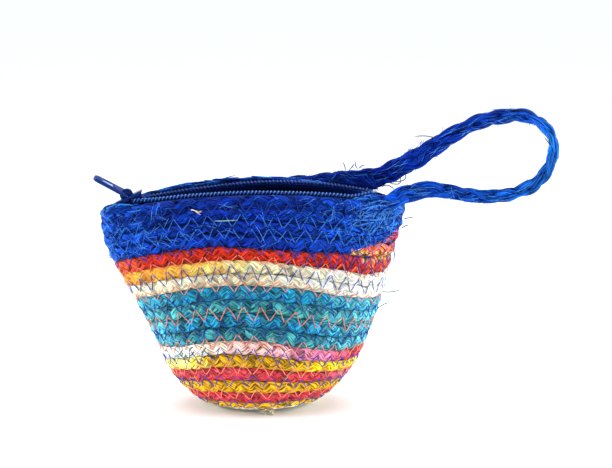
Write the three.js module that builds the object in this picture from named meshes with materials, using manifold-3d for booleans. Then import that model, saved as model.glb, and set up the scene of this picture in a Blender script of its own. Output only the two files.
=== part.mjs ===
import * as THREE from "three";
import { mergeVertices } from "three/addons/utils/BufferGeometryUtils.js";
import Module from "manifold-3d";

// Plaited straw purse: a pouch of sewn rows, a coil zip in its mouth and a wrist loop.
// Millimetres, +Z up. X runs along the mouth, -Y is the front, and the origin is the middle of the base.

const wasm = await Module();
wasm.setup();

// Plait and seams
const PLAIT_THICKNESS = 2.6;
const SEAM_GAP = 0.3;
const ROW_COUNT = 18;
const ROW_HEIGHT = 5;
const RING_STEPS = 40;
const END_CROWDING = 0.35; // draws a ring's steps towards the tight ends of the mouth

// Base disc
const BASE_HEIGHT = 2.6;
const BASE_EDGE = 1.2;
const BASE_GROOVES = [5.5, 10.8];
const GROOVE_HALF_WIDTH = 0.8;
const GROOVE_DEPTH = 0.6;
const BASE_STEPS = 24;

// Zip tape and coil
const TAPE_THICKNESS = 1;
const TAPE_WIDTH_ROWS = 1.25;
const TAPE_END_ANGLE = { left: 42, right: 30 };
const TAPE_STEPS = 18;
const COIL_RADIUS = 1;
const COIL_SIDES = 6;
const COIL_STEPS = 22;
const COIL_END_ANGLE = { left: 49, right: 50 };
const COIL_RIDE_POINTS = 9;
const COIL_MEET = { x: 43, y: 1.25, z: 81.4 };
// Height of the coil's middle over the rim at its two ends, and its place in from the wall's middle
const COIL_SEAT = {
  front: { left: 1.55, right: 1.55, inset: 2.1 },
  back: { left: -1.2, right: 0.5, inset: 2.6 },
};

// Slider, given in its own frame with X towards the open zip and Z up from its top plate
const SLIDER = { x: -50, z: 80.2, tilt: 26 };
const SLIDER_LENGTH = 11;
const SLIDER_WIDE = 4;
const SLIDER_NARROW = 2.5;
const SLIDER_CORNER = 1.2;
const SLIDER_PLATE = 0.9;
const SLIDER_CHANNEL = 2.4;
const SLIDER_FLANGE = { width: 0.7, drop: 0.65 };
const SLIDER_POST = { x: 3.2, halfLength: 1.8, halfWidth: 0.75 };
const SLIDER_EMBED = 0.2;
const COIL_SPREAD = 1.9;
const BAIL = { x: -0.4, halfLength: 2.9, leg: 1.2, height: 3.3, window: 2.2, width: 1.6, round: 1.4 };

// Pull tab, along X from its hinge bar
const PULL_LENGTH = 14.4;
const PULL_HALF_WIDTH = 2.4;
const PULL_TIP_HALF_WIDTH = 2;
const PULL_THICKNESS = 1.3;
const PULL_BEVEL = 0.2;
const PULL_LIFT = 30;
const PULL_BAR_HALF = 0.6;
const PULL_EYE = { far: 3.9, halfWidth: 1.35 };
const PULL_RECESS = { near: 5.6, far: 12.8, halfWidth: 1.25, depth: 0.35 };

// Wrist loop
const LOOP_THICKNESS = 3;
const LOOP_STEPS = 44;

// Entries of a table, one object for each line, named by its columns.
function table(columns, lines) {
  return lines.map((line) => Object.fromEntries(columns.map((column, i) => [column, line[i]])));
}

// Pouch wall at a few seams, counted in rows up from the base. Half widths reach the middle of the
// wall, heights are at the four sides, tip is the radius of the mouth's round ends, and pinch
// narrows the sides towards them.
const SECTIONS = table(
  ["row", "left", "right", "front", "back", "zFront", "zBack", "zLeft", "zRight", "tip", "pinch"],
  [
    [0, 17, 17, 16, 16, 1.4, 1.4, 1.4, 1.4, 0, 1],
    [2, 24.5, 25.5, 22.5, 22, 5, 5, 4, 5, 0, 1],
    [5, 34, 35, 27.5, 27, 18.6, 18, 14, 15.5, 0, 1],
    [8, 40, 41, 27.5, 27, 34, 34, 27.5, 28.5, 0, 1],
    [11, 47, 46, 23.5, 23.5, 49, 49.5, 41, 43, 0.6, 1.1],
    [14, 55, 49.6, 17, 17.5, 63.5, 65, 55.5, 58, 1.8, 1.3],
    [16, 58.8, 52.3, 12.5, 13.5, 72.7, 75.5, 65.5, 67.5, 2.6, 1.45],
    [18, 59.3, 54.8, 8.5, 9.5, 81.5, 85.9, 75.5, 77.5, 3.2, 1.6],
  ],
);

// How far the seams rise above even rows along the front, or sag below them, in millimetres at these
// places from left to right
const SAG_PLACES = [-55, -30, -15, 0, 15, 30, 40, 52];
const FRONT_SAG = table(
  ["row", "rise"],
  [
    [2, [0, 0, 0, 0, 0, 0, 0, 0]],
    [3.5, [0, 0.4, 1, 0.6, 0, -0.6, 0, 0]],
    [5.5, [0, 0.8, 1.8, 0.8, 0, -1, -0.4, 0]],
    [7, [0, 0.4, 1.4, 1, 0.6, 0, 0, 0]],
    [11, [0.6, 1, 1, 0.4, -0.4, -1.8, -2, -0.6]],
    [13, [0.4, 0.4, 0.2, -0.6, -2, -2.4, -3.3, -0.8]],
    [14, [0.2, 0.4, 0.2, -1.4, -2, -1.6, -1.8, -0.4]],
    [16, [0, 0, 0, -0.7, -1, -0.7, -0.6, 0]],
    [18, [0, 0, 0, 0, 0, 0, 0, 0]],
  ],
);

// Outline of the plait, as shares of half its width across the row and half its thickness
const PLAIT_SECTION = table(
  ["across", "out"],
  [[-1, 0], [-0.55, 1], [0.55, 1], [1, 0], [0.55, -1], [-0.55, -1]],
);

// Route of the wrist loop from the back of the rim round to the front corner. Twist turns its flat
// side, which faces the front on both arms, towards the inside of the loop. The plait is pressed
// wider where it is sewn on.
const LOOP_STATIONS = table(
  ["x", "y", "z", "twist", "width"],
  [
    [6, 14.3, 82.1, 22, 6.4],
    [15, 13.6, 83.1, 22, 7],
    [24, 12.6, 84, 22, 7.6],
    [35, 11.1, 85.2, 18, 7.6],
    [46, 9, 86.6, 10, 7.8],
    [55.4, 7, 91, 5, 7.8],
    [64.6, 6, 96.6, 10, 7.4],
    [73.8, 5, 102.8, 15, 6.4],
    [83, 4, 107.6, 20, 6],
    [92.3, 3, 110, 30, 6.2],
    [101.2, 2, 110.2, 50, 6],
    [109.4, 1, 105.4, 75, 5.6],
    [112, 0, 96.6, 75, 5.2],
    [107, -1.5, 86.4, 50, 5.2],
    [98, -2.2, 81.4, 25, 5.2],
    [86.5, -3, 79.9, 10, 5.2],
    [76, -3.6, 81.2, 0, 5.4],
    [65.5, -4.8, 83, 5, 6.2],
    [56.5, -6.8, 81.5, 12, 6.8],
    [47.5, -8.7, 78.4, 20, 7],
  ],
);

const DYE_COLORS = {
  natural: "#dcbfa0",
  yellow: "#e2ac18",
  crimson: "#cf3f4c",
  pink: "#eaa6ad",
  green: "#378283",
  teal: "#236f94",
  cream: "#e4d9c2",
  orange: "#e9b25a",
  red: "#c62c17",
  blue: "#12318f",
};

// Dyes of the rows, from the base up to the rim
const ROW_DYES = [
  "natural", "yellow", "crimson", "yellow", "crimson", "yellow", "pink", "green", "teal",
  "green", "teal", "cream", "orange", "red", "blue", "blue", "blue", "blue",
];

const STRAW = { roughness: 0.65, metalness: 0 };
const TAPE = { color: "#12318f", roughness: 0.8, metalness: 0 };
const COIL = { color: "#1d52b6", roughness: 0.4, metalness: 0 };
const PAINTED_METAL = { color: "#173a94", roughness: 0.35, metalness: 0.3 };

const purse = new THREE.Group();

function addPiece(name, geometry, finish, parent = purse) {
  const mesh = new THREE.Mesh(geometry, new THREE.MeshStandardMaterial(finish));
  mesh.name = name;
  parent.add(mesh);
}

// Smooth curve through the table of sections, with each entry's slope taken from its neighbours.
function sectionAt(row) {
  const last = SECTIONS.length - 1;
  let i = 0;
  while (i < last - 1 && row > SECTIONS[i + 1].row) i += 1;
  const span = SECTIONS[i + 1].row - SECTIONS[i].row;
  const t = (row - SECTIONS[i].row) / span;
  const slope = (entry, column) => {
    const before = SECTIONS[Math.max(entry - 1, 0)];
    const after = SECTIONS[Math.min(entry + 1, last)];
    return (after[column] - before[column]) / (after.row - before.row);
  };
  const size = {};
  for (const column of Object.keys(SECTIONS[i])) {
    const from = SECTIONS[i][column] * (2 * t ** 3 - 3 * t ** 2 + 1);
    const to = SECTIONS[i + 1][column] * (3 * t ** 2 - 2 * t ** 3);
    const leaving = slope(i, column) * span * (t ** 3 - 2 * t ** 2 + t);
    const arriving = slope(i + 1, column) * span * (t ** 3 - t ** 2);
    size[column] = from + to + leaving + arriving;
  }
  return size;
}

// Where a value falls along a list of rising values: the entry before it and the share of the way on.
function placeIn(values, value) {
  let i = 0;
  while (i < values.length - 2 && value > values[i + 1]) i += 1;
  const share = (value - values[i]) / (values[i + 1] - values[i]);
  return [i, THREE.MathUtils.clamp(share, 0, 1)];
}

// Row of an even wall that a seam lies at, once the front's uneven sewing is taken in.
function sewnRow(angle, row) {
  const { left, right } = sectionAt(row);
  const c = Math.cos(angle);
  const front = THREE.MathUtils.smoothstep(-Math.sin(angle), 0, 0.35);
  const [column, across] = placeIn(SAG_PLACES, c * (c < 0 ? left : right));
  const [line, up] = placeIn(FRONT_SAG.map((entry) => entry.row), row);
  const riseOn = ({ rise }) => THREE.MathUtils.lerp(rise[column], rise[column + 1], across);
  const rise = THREE.MathUtils.lerp(riseOn(FRONT_SAG[line]), riseOn(FRONT_SAG[line + 1]), up);
  return row + (front * rise) / ROW_HEIGHT;
}

// Middle of the wall. Angle 0 is the right end, and a quarter turn on is the back.
function wallPoint(angle, row) {
  const size = sectionAt(sewnRow(angle, row));
  const c = Math.cos(angle);
  const s = Math.sin(angle);
  const reach = c < 0 ? size.left : size.right;
  const depth = s < 0 ? size.front : size.back;
  const fromTip = Math.min(1, (reach * (1 - Math.abs(c))) / Math.max(size.tip, 0.01));
  const roundEnd = size.tip * Math.sqrt(1 - (1 - fromTip) ** 2);
  const side = roundEnd + (depth - size.tip) * Math.abs(s) ** size.pinch;
  const zMiddle = (size.zFront + size.zBack) / 2;
  const zEnd = c < 0 ? size.zLeft : size.zRight;
  const z = zMiddle + ((size.zBack - size.zFront) / 2) * s + (zEnd - zMiddle) * c * c;
  return new THREE.Vector3(reach * c, Math.sign(s) * side, z);
}

function wallFrame(angle, row) {
  const nudge = 0.01;
  const along = wallPoint(angle + nudge, row).sub(wallPoint(angle - nudge, row)).normalize();
  const up = wallPoint(angle, row).sub(wallPoint(angle, row - nudge)).normalize();
  const out = along.clone().cross(up).normalize();
  return { up, out };
}

// Skin over a chain of matching sections, closed in a ring or capped at both ends.
function sweep(sections, closed) {
  const count = sections[0].length;
  const index = [];
  const spans = closed ? sections.length : sections.length - 1;
  for (let i = 0; i < spans; i += 1) {
    const here = i * count;
    const next = ((i + 1) % sections.length) * count;
    for (let j = 0; j < count; j += 1) {
      const k = (j + 1) % count;
      index.push(here + j, next + j, next + k);
      index.push(here + j, next + k, here + k);
    }
  }
  if (!closed) {
    const end = (sections.length - 1) * count;
    for (let j = 1; j < count - 1; j += 1) {
      index.push(0, j, j + 1);
      index.push(end, end + j + 1, end + j);
    }
  }
  const positions = sections.flat().flatMap((point) => point.toArray());
  const geometry = new THREE.BufferGeometry();
  geometry.setAttribute("position", new THREE.Float32BufferAttribute(positions, 3));
  geometry.setIndex(index);
  geometry.computeVertexNormals();
  return geometry;
}

function solidOf(geometry) {
  const bare = geometry.clone();
  bare.deleteAttribute("normal");
  bare.deleteAttribute("uv");
  const merged = mergeVertices(bare, 1e-4);
  const vertProperties = Float32Array.from(merged.getAttribute("position").array);
  const triVerts = Uint32Array.from(merged.getIndex().array);
  return new wasm.Manifold(new wasm.Mesh({ numProp: 3, vertProperties, triVerts }));
}

function geometryOf(solid) {
  const mesh = solid.getMesh();
  const geometry = new THREE.BufferGeometry();
  geometry.setAttribute("position", new THREE.Float32BufferAttribute(mesh.vertProperties, 3));
  geometry.setIndex(new THREE.Uint32BufferAttribute(mesh.triVerts, 1));
  geometry.computeVertexNormals();
  return geometry;
}

function polygon(points) {
  return new THREE.Shape(points.map(([x, y]) => new THREE.Vector2(x, y)));
}

// Flat base of the first coiled turns, a disc with a groove at each seam on both faces.
function makeBase() {
  const radius = SECTIONS[0].left - SEAM_GAP;
  const top = [new THREE.Vector2(0, BASE_HEIGHT)];
  for (const groove of BASE_GROOVES) {
    top.push(new THREE.Vector2(groove - GROOVE_HALF_WIDTH, BASE_HEIGHT));
    top.push(new THREE.Vector2(groove, BASE_HEIGHT - GROOVE_DEPTH));
    top.push(new THREE.Vector2(groove + GROOVE_HALF_WIDTH, BASE_HEIGHT));
  }
  top.push(new THREE.Vector2(radius - BASE_EDGE, BASE_HEIGHT));
  const bottom = top.map((point) => new THREE.Vector2(point.x, BASE_HEIGHT - point.y));
  const edge = new THREE.Vector2(radius, BASE_HEIGHT / 2);
  const geometry = new THREE.LatheGeometry([...bottom, edge, ...top.reverse()], BASE_STEPS);
  geometry.rotateX(Math.PI / 2);
  geometry.scale(1, (SECTIONS[0].front - SEAM_GAP) / radius, 1);
  return geometry;
}

// One turn of the plait, sewn edge to edge to the turns below and above it.
function makeRow(row) {
  const halfHeight = (1 - SEAM_GAP / ROW_HEIGHT) / 2;
  const sections = [];
  for (let step = 0; step < RING_STEPS; step += 1) {
    const turn = (2 * Math.PI * step) / RING_STEPS;
    const angle = turn - END_CROWDING * Math.sin(2 * turn);
    const section = PLAIT_SECTION.map(({ across, out }) => {
      const seat = row + 0.5 + across * halfHeight;
      const normal = wallFrame(angle, seat).out;
      return wallPoint(angle, seat).addScaledVector(normal, (out * PLAIT_THICKNESS) / 2);
    });
    sections.push(section);
  }
  return sweep(sections, true);
}

// Angles along one side of the mouth, in from its two ends by the given degrees.
function mouthAngles(side, ends, count) {
  const rightEnd = THREE.MathUtils.degToRad(ends.right);
  const leftEnd = THREE.MathUtils.degToRad(ends.left);
  const start = side === "front" ? Math.PI + leftEnd : rightEnd;
  const end = side === "front" ? 2 * Math.PI - rightEnd : Math.PI - leftEnd;
  return Array.from({ length: count }, (_, i) => start + ((end - start) * i) / (count - 1));
}

const tapeInset = PLAIT_THICKNESS / 2 + SEAM_GAP;

// Height of the coil's middle over the rim, from its seat at the left end to the one at the right.
function coilRise(side, angle) {
  const { left, right } = COIL_SEAT[side];
  return THREE.MathUtils.lerp(left, right, (Math.cos(angle) + 1) / 2);
}

function makeTape(side) {
  const sections = mouthAngles(side, TAPE_END_ANGLE, TAPE_STEPS + 1).map((angle) => {
    const at = (row, inset) => {
      const normal = wallFrame(angle, row).out;
      return wallPoint(angle, row).addScaledVector(normal, -inset);
    };
    const high = ROW_COUNT + (coilRise(side, angle) - COIL_RADIUS - SEAM_GAP) / ROW_HEIGHT;
    const low = high - TAPE_WIDTH_ROWS;
    return [
      at(low, tapeInset),
      at(high, tapeInset),
      at(high, tapeInset + TAPE_THICKNESS),
      at(low, tapeInset + TAPE_THICKNESS),
    ];
  });
  return sweep(sections, false);
}

const sliderFrame = new THREE.Group();
sliderFrame.position.set(SLIDER.x, 0, SLIDER.z);
sliderFrame.rotation.y = -THREE.MathUtils.degToRad(SLIDER.tilt);
sliderFrame.updateMatrix();

// One side of the coil: out of the slider, along the tape's edge, and in to the far end.
function makeCoil(side) {
  const facing = side === "front" ? -1 : 1;
  const channelMiddle = -SLIDER_PLATE - SLIDER_CHANNEL / 2;
  const mouth = new THREE.Vector3(SLIDER_LENGTH / 2 + SEAM_GAP, facing * COIL_SPREAD, channelMiddle);
  const ride = mouthAngles(side, COIL_END_ANGLE, COIL_RIDE_POINTS).map((angle) => {
    const { up, out } = wallFrame(angle, ROW_COUNT);
    const point = wallPoint(angle, ROW_COUNT).addScaledVector(up, coilRise(side, angle));
    return point.addScaledVector(out, -COIL_SEAT[side].inset);
  });
  if (side === "back") ride.reverse();
  const meet = new THREE.Vector3(COIL_MEET.x, facing * COIL_MEET.y, COIL_MEET.z);
  const path = new THREE.CatmullRomCurve3([mouth.applyMatrix4(sliderFrame.matrix), ...ride, meet]);
  const section = new THREE.Shape().absarc(0, 0, COIL_RADIUS, 0, 2 * Math.PI);
  return new THREE.ExtrudeGeometry(section, {
    steps: COIL_STEPS,
    curveSegments: COIL_SIDES,
    extrudePath: path,
    bevelEnabled: false,
  });
}

// Outline of a slider plate, narrow where the closed coil leaves and wide where the two sides enter.
function plateOutline() {
  const half = SLIDER_LENGTH / 2;
  const shape = new THREE.Shape();
  shape.moveTo(-half + SLIDER_CORNER, -SLIDER_NARROW);
  shape.lineTo(half - SLIDER_CORNER, -SLIDER_WIDE);
  shape.quadraticCurveTo(half, -SLIDER_WIDE, half, -SLIDER_WIDE + SLIDER_CORNER);
  shape.lineTo(half, SLIDER_WIDE - SLIDER_CORNER);
  shape.quadraticCurveTo(half, SLIDER_WIDE, half - SLIDER_CORNER, SLIDER_WIDE);
  shape.lineTo(-half + SLIDER_CORNER, SLIDER_NARROW);
  shape.quadraticCurveTo(-half, SLIDER_NARROW, -half, SLIDER_NARROW - SLIDER_CORNER);
  shape.lineTo(-half, -SLIDER_NARROW + SLIDER_CORNER);
  shape.quadraticCurveTo(-half, -SLIDER_NARROW, -half + SLIDER_CORNER, -SLIDER_NARROW);
  return shape;
}

function extruded(shape, bottom, height, curveSegments = 4) {
  const geometry = new THREE.ExtrudeGeometry(shape, { depth: height, bevelEnabled: false, curveSegments });
  geometry.translate(0, 0, bottom);
  return geometry;
}

// Turned-in edge along one long side of a slider plate.
function flangeOutline(facing) {
  const half = SLIDER_LENGTH / 2 - SLIDER_CORNER;
  const { width } = SLIDER_FLANGE;
  return polygon([
    [-half, facing * SLIDER_NARROW],
    [half, facing * SLIDER_WIDE],
    [half, facing * (SLIDER_WIDE - width)],
    [-half, facing * (SLIDER_NARROW - width)],
  ]);
}

// Arch over the top plate that holds the pull.
function bailArch() {
  const { x, halfLength, leg, height, window, width, round } = BAIL;
  const inner = halfLength - leg;
  const innerRound = round / 2;
  const shape = new THREE.Shape();
  shape.moveTo(x - halfLength, -SLIDER_EMBED);
  shape.lineTo(x - inner, -SLIDER_EMBED);
  shape.lineTo(x - inner, window - innerRound);
  shape.quadraticCurveTo(x - inner, window, x - inner + innerRound, window);
  shape.lineTo(x + inner - innerRound, window);
  shape.quadraticCurveTo(x + inner, window, x + inner, window - innerRound);
  shape.lineTo(x + inner, -SLIDER_EMBED);
  shape.lineTo(x + halfLength, -SLIDER_EMBED);
  shape.lineTo(x + halfLength, height - round);
  shape.quadraticCurveTo(x + halfLength, height, x + halfLength - round, height);
  shape.lineTo(x - halfLength + round, height);
  shape.quadraticCurveTo(x - halfLength, height, x - halfLength, height - round);
  const geometry = extruded(shape, -width / 2, width);
  geometry.rotateX(Math.PI / 2);
  return geometry;
}

function makeSlider() {
  const lower = -2 * SLIDER_PLATE - SLIDER_CHANNEL;
  const post = polygon([
    [SLIDER_POST.x - SLIDER_POST.halfLength, 0],
    [SLIDER_POST.x, -SLIDER_POST.halfWidth],
    [SLIDER_POST.x + SLIDER_POST.halfLength, 0],
    [SLIDER_POST.x, SLIDER_POST.halfWidth],
  ]);
  let solid = solidOf(extruded(plateOutline(), -SLIDER_PLATE, SLIDER_PLATE));
  solid = solid.add(solidOf(extruded(plateOutline(), lower, SLIDER_PLATE)));
  const postHeight = SLIDER_CHANNEL + 2 * SLIDER_EMBED;
  solid = solid.add(solidOf(extruded(post, lower + SLIDER_PLATE - SLIDER_EMBED, postHeight)));
  const flangeHeight = SLIDER_FLANGE.drop + SLIDER_EMBED;
  for (const facing of [-1, 1]) {
    const outline = flangeOutline(facing);
    solid = solid.add(solidOf(extruded(outline, -SLIDER_PLATE - SLIDER_FLANGE.drop, flangeHeight)));
    solid = solid.add(solidOf(extruded(outline, lower + SLIDER_PLATE - SLIDER_EMBED, flangeHeight)));
  }
  return geometryOf(solid.add(solidOf(bailArch())));
}

// Flat tab with an eye round the bail and a shallow recess inside a raised border on each face.
function makePull() {
  const outline = new THREE.Shape();
  const tipCentre = PULL_LENGTH - PULL_TIP_HALF_WIDTH;
  const edge = PULL_BEVEL;
  outline.moveTo(-PULL_BAR_HALF + edge, -PULL_HALF_WIDTH + edge);
  outline.lineTo(PULL_EYE.far, -PULL_HALF_WIDTH + edge);
  outline.lineTo(tipCentre, -PULL_TIP_HALF_WIDTH + edge);
  outline.absarc(tipCentre, 0, PULL_TIP_HALF_WIDTH - edge, -Math.PI / 2, Math.PI / 2);
  outline.lineTo(PULL_EYE.far, PULL_HALF_WIDTH - edge);
  outline.lineTo(-PULL_BAR_HALF + edge, PULL_HALF_WIDTH - edge);
  const tab = new THREE.ExtrudeGeometry(outline, {
    depth: PULL_THICKNESS - 2 * edge,
    bevelThickness: edge,
    bevelSize: edge,
    bevelSegments: 1,
    curveSegments: 6,
  });
  tab.translate(0, 0, edge - PULL_THICKNESS / 2);
  const eye = polygon([
    [PULL_BAR_HALF, -PULL_EYE.halfWidth],
    [PULL_EYE.far, -PULL_EYE.halfWidth],
    [PULL_EYE.far, PULL_EYE.halfWidth],
    [PULL_BAR_HALF, PULL_EYE.halfWidth],
  ]);
  const { near, far, halfWidth, depth } = PULL_RECESS;
  const recess = new THREE.Shape();
  recess.absarc(near + halfWidth, 0, halfWidth, Math.PI / 2, (3 * Math.PI) / 2);
  recess.absarc(far - halfWidth, 0, halfWidth, -Math.PI / 2, Math.PI / 2);
  const face = PULL_THICKNESS / 2;
  let solid = solidOf(tab).subtract(solidOf(extruded(eye, -PULL_THICKNESS, 2 * PULL_THICKNESS)));
  solid = solid.subtract(solidOf(extruded(recess, face - depth, 2 * depth)));
  solid = solid.subtract(solidOf(extruded(recess, -face - depth, 2 * depth)));
  return geometryOf(solid);
}

// Flat plait carried round the loop, its two ends lying on the outside of the rim.
function makeLoop() {
  const route = new THREE.CatmullRomCurve3(
    LOOP_STATIONS.map(({ x, y, z }) => new THREE.Vector3(x, y, z)),
    false,
    "centripetal",
  );
  const sideways = new THREE.Vector3(0, 1, 0);
  const sections = [];
  for (let step = 0; step <= LOOP_STEPS; step += 1) {
    const t = step / LOOP_STEPS;
    const place = t * (LOOP_STATIONS.length - 1);
    const from = Math.min(Math.floor(place), LOOP_STATIONS.length - 2);
    const [here, next] = LOOP_STATIONS.slice(from, from + 2);
    const twist = THREE.MathUtils.lerp(here.twist, next.twist, place - from);
    const width = THREE.MathUtils.lerp(here.width, next.width, place - from);
    const along = route.getTangent(t);
    const up = along.clone().cross(sideways).normalize().negate();
    up.applyAxisAngle(along, THREE.MathUtils.degToRad(twist));
    const out = along.clone().cross(up).normalize();
    const centre = route.getPoint(t);
    sections.push(
      PLAIT_SECTION.map((corner) =>
        centre
          .clone()
          .addScaledVector(up, (corner.across * width) / 2)
          .addScaledVector(out, (corner.out * LOOP_THICKNESS) / 2),
      ),
    );
  }
  return sweep(sections, false);
}

addPiece("base_coil", makeBase(), { ...STRAW, color: DYE_COLORS.natural });
ROW_DYES.forEach((dye, row) => {
  const number = String(row + 1).padStart(2, "0");
  addPiece(`row_${number}_${dye}`, makeRow(row), { ...STRAW, color: DYE_COLORS[dye] });
});
for (const side of ["front", "back"]) {
  addPiece(`zip_tape_${side}`, makeTape(side), TAPE);
  addPiece(`zip_coil_${side}`, makeCoil(side), COIL);
}
addPiece("wrist_loop", makeLoop(), { ...STRAW, color: DYE_COLORS.blue });

addPiece("zip_slider", makeSlider(), PAINTED_METAL, sliderFrame);
purse.add(sliderFrame);

const hinge = new THREE.Vector3(BAIL.x, 0, BAIL.window / 2).applyMatrix4(sliderFrame.matrix);
const pullFrame = new THREE.Group();
pullFrame.position.copy(hinge);
pullFrame.rotation.y = Math.PI + THREE.MathUtils.degToRad(PULL_LIFT);
addPiece("zip_pull", makePull(), PAINTED_METAL, pullFrame);
purse.add(pullFrame);

export default purse;
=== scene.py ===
import bpy
import math
import numpy as np
from mathutils import Matrix, Vector
from mathutils.bvhtree import BVHTree


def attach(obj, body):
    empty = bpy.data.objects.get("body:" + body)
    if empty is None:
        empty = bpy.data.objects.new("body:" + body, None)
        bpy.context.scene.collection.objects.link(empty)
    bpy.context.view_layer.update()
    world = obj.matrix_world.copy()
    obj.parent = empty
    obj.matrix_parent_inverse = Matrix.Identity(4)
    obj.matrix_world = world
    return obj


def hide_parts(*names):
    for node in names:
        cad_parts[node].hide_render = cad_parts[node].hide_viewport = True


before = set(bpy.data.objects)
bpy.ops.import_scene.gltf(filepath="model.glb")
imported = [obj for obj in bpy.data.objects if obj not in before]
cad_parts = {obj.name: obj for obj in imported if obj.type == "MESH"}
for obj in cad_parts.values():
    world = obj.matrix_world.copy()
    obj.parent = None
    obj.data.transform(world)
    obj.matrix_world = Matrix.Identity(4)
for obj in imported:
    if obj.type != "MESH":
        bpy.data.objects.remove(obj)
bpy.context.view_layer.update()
scene = bpy.context.scene
mm = 0.001
fullTurn = 2 * math.pi
print("frame loaded:", len(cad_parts), "nodes")


# small sums used all through
def unit(v):
    return v / np.maximum(np.linalg.norm(v, axis=-1, keepdims=True), 1e-9)


def ease(t):
    return t * t * (3 - 2 * t)


def bow(t):  # 0 at both ends, 1 in the middle
    return 4 * t * (1 - t)


def cubic(first, last, firstSlope, lastSlope, t):
    value = first * (2 * t**3 - 3 * t**2 + 1) + last * (3 * t**2 - 2 * t**3)
    return value + firstSlope * (t**3 - 2 * t**2 + t) + lastSlope * (t**3 - t**2)


def runAlong(points):  # length of a path up to each of its points
    steps = np.linalg.norm(np.diff(points, axis=-2), axis=-1)
    return np.concatenate([np.zeros(steps.shape[:-1] + (1,)), np.cumsum(steps, -1)], -1)


def readAt(where, places, table, period=None):  # first three columns of a table, between its rows
    return np.stack([np.interp(where, places, table[:, k], period=period) for k in range(3)], -1)


def wobble(random, count, low, high, terms=7):  # smooth wander that closes on itself
    turn = np.linspace(0, fullTurn, count, endpoint=False)
    waves = random.integers(low, high + 1, terms)
    starts = random.uniform(0, fullTurn, terms)
    return np.sin(turn[:, None] * waves + starts).sum(1) / math.sqrt(terms / 2)


# pouch wall: same sections as the frame, in mm, rows counted up from the base
pouch = {
    "columns": ("row", "left", "right", "front", "back", "zFront", "zBack", "zLeft", "zRight",
                "tip", "pinch"),
    "sections": (
        (0, 17, 17, 16, 16, 1.4, 1.4, 1.4, 1.4, 0, 1),
        (2, 24.5, 25.5, 22.5, 22, 5, 5, 4, 5, 0, 1),
        (5, 34, 35, 27.5, 27, 18.6, 18, 14, 15.5, 0, 1),
        (8, 40, 41, 27.5, 27, 34, 34, 27.5, 28.5, 0, 1),
        (11, 47, 46, 23.5, 23.5, 49, 49.5, 41, 43, 0.6, 1.1),
        (14, 55, 49.6, 17, 17.5, 63.5, 65, 55.5, 58, 1.8, 1.3),
        (16, 58.8, 52.3, 12.5, 13.5, 72.7, 75.5, 65.5, 67.5, 2.6, 1.45),
        (18, 59.3, 54.8, 8.5, 9.5, 81.5, 85.9, 75.5, 77.5, 3.2, 1.6),
    ),
    "rowHeight": 5, "rim": 18, "ringSteps": 1441,
    "sagPlaces": (-55, -30, -15, 0, 15, 30, 40, 52),
    "sagRows": (2, 3.5, 5.5, 7, 11, 13, 14, 16, 18),
    "frontSag": (  # seams sewn a little high or low along the front
        (0, 0, 0, 0, 0, 0, 0, 0), (0, 0.4, 1, 0.6, 0, -0.6, 0, 0), (0, 0.8, 1.8, 0.7, -1.2, -1.3, -0.3, 0),
        (0, 0.4, 1.4, 0.9, -1.6, -2.4, -0.4, 0), (0.6, 1, 1, 0.4, -0.4, -1.8, -2, -0.6),
        (0.4, 0.4, 0.2, -0.6, -2, -2.4, -3.3, -0.8), (0.2, 0.4, 0.2, -1.4, -2, -1.6, -1.8, -0.4),
        (0, 0, 0, -0.7, -1, -0.7, -0.6, 0), (0, 0, 0, 0, 0, 0, 0, 0),
    ),
    "sagEase": 0.35,  # sine of the angle over which the sag fades in from the ends
}


def sectionAt(row):
    table = np.array(pouch["sections"], float)
    rows = table[:, 0]
    last = len(rows) - 1
    before = np.maximum(np.arange(last + 1) - 1, 0)
    after = np.minimum(np.arange(last + 1) + 1, last)
    slopes = (table[after] - table[before]) / (rows[after] - rows[before])[:, None]
    i = np.clip(np.searchsorted(rows, row, side="left") - 1, 0, last - 1)
    span = (rows[i + 1] - rows[i])[..., None]
    t = (row - rows[i])[..., None] / span
    value = cubic(table[i], table[i + 1], span * slopes[i], span * slopes[i + 1], t)
    return {name: value[..., k] for k, name in enumerate(pouch["columns"])}


def sewnRow(angle, row):
    size = sectionAt(row)
    c = np.cos(angle)
    x = c * np.where(c < 0, size["left"], size["right"])
    places, rows, sag = (np.array(pouch[key], float) for key in ("sagPlaces", "sagRows", "frontSag"))
    i = np.clip(np.searchsorted(rows, row) - 1, 0, len(rows) - 2)
    j = np.clip(np.searchsorted(places, x) - 1, 0, len(places) - 2)
    up = np.clip((row - rows[i]) / (rows[i + 1] - rows[i]), 0, 1)
    on = np.clip((x - places[j]) / (places[j + 1] - places[j]), 0, 1)
    low = sag[i, j] * (1 - on) + sag[i, j + 1] * on
    high = sag[i + 1, j] * (1 - on) + sag[i + 1, j + 1] * on
    front = np.clip(-np.sin(angle) / pouch["sagEase"], 0, 1)
    return row + ease(front) * (low + (high - low) * up) / pouch["rowHeight"]


def wallPoint(angle, row):
    angle, row = np.broadcast_arrays(np.asarray(angle, float), np.asarray(row, float))
    size = sectionAt(sewnRow(angle, row))
    c, s = np.cos(angle), np.sin(angle)
    reach = np.where(c < 0, size["left"], size["right"])
    depth = np.where(s < 0, size["front"], size["back"])
    fromTip = np.minimum(1, reach * (1 - np.abs(c)) / np.maximum(size["tip"], 0.01))
    roundEnd = size["tip"] * np.sqrt(np.maximum(0, 1 - (1 - fromTip) ** 2))
    side = roundEnd + (depth - size["tip"]) * np.abs(s) ** size["pinch"]
    zMiddle = (size["zFront"] + size["zBack"]) / 2
    zEnd = np.where(c < 0, size["zLeft"], size["zRight"])
    z = zMiddle + (size["zBack"] - size["zFront"]) / 2 * s + (zEnd - zMiddle) * c * c
    return np.stack([reach * c, np.sign(s) * side, z], -1)


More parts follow.
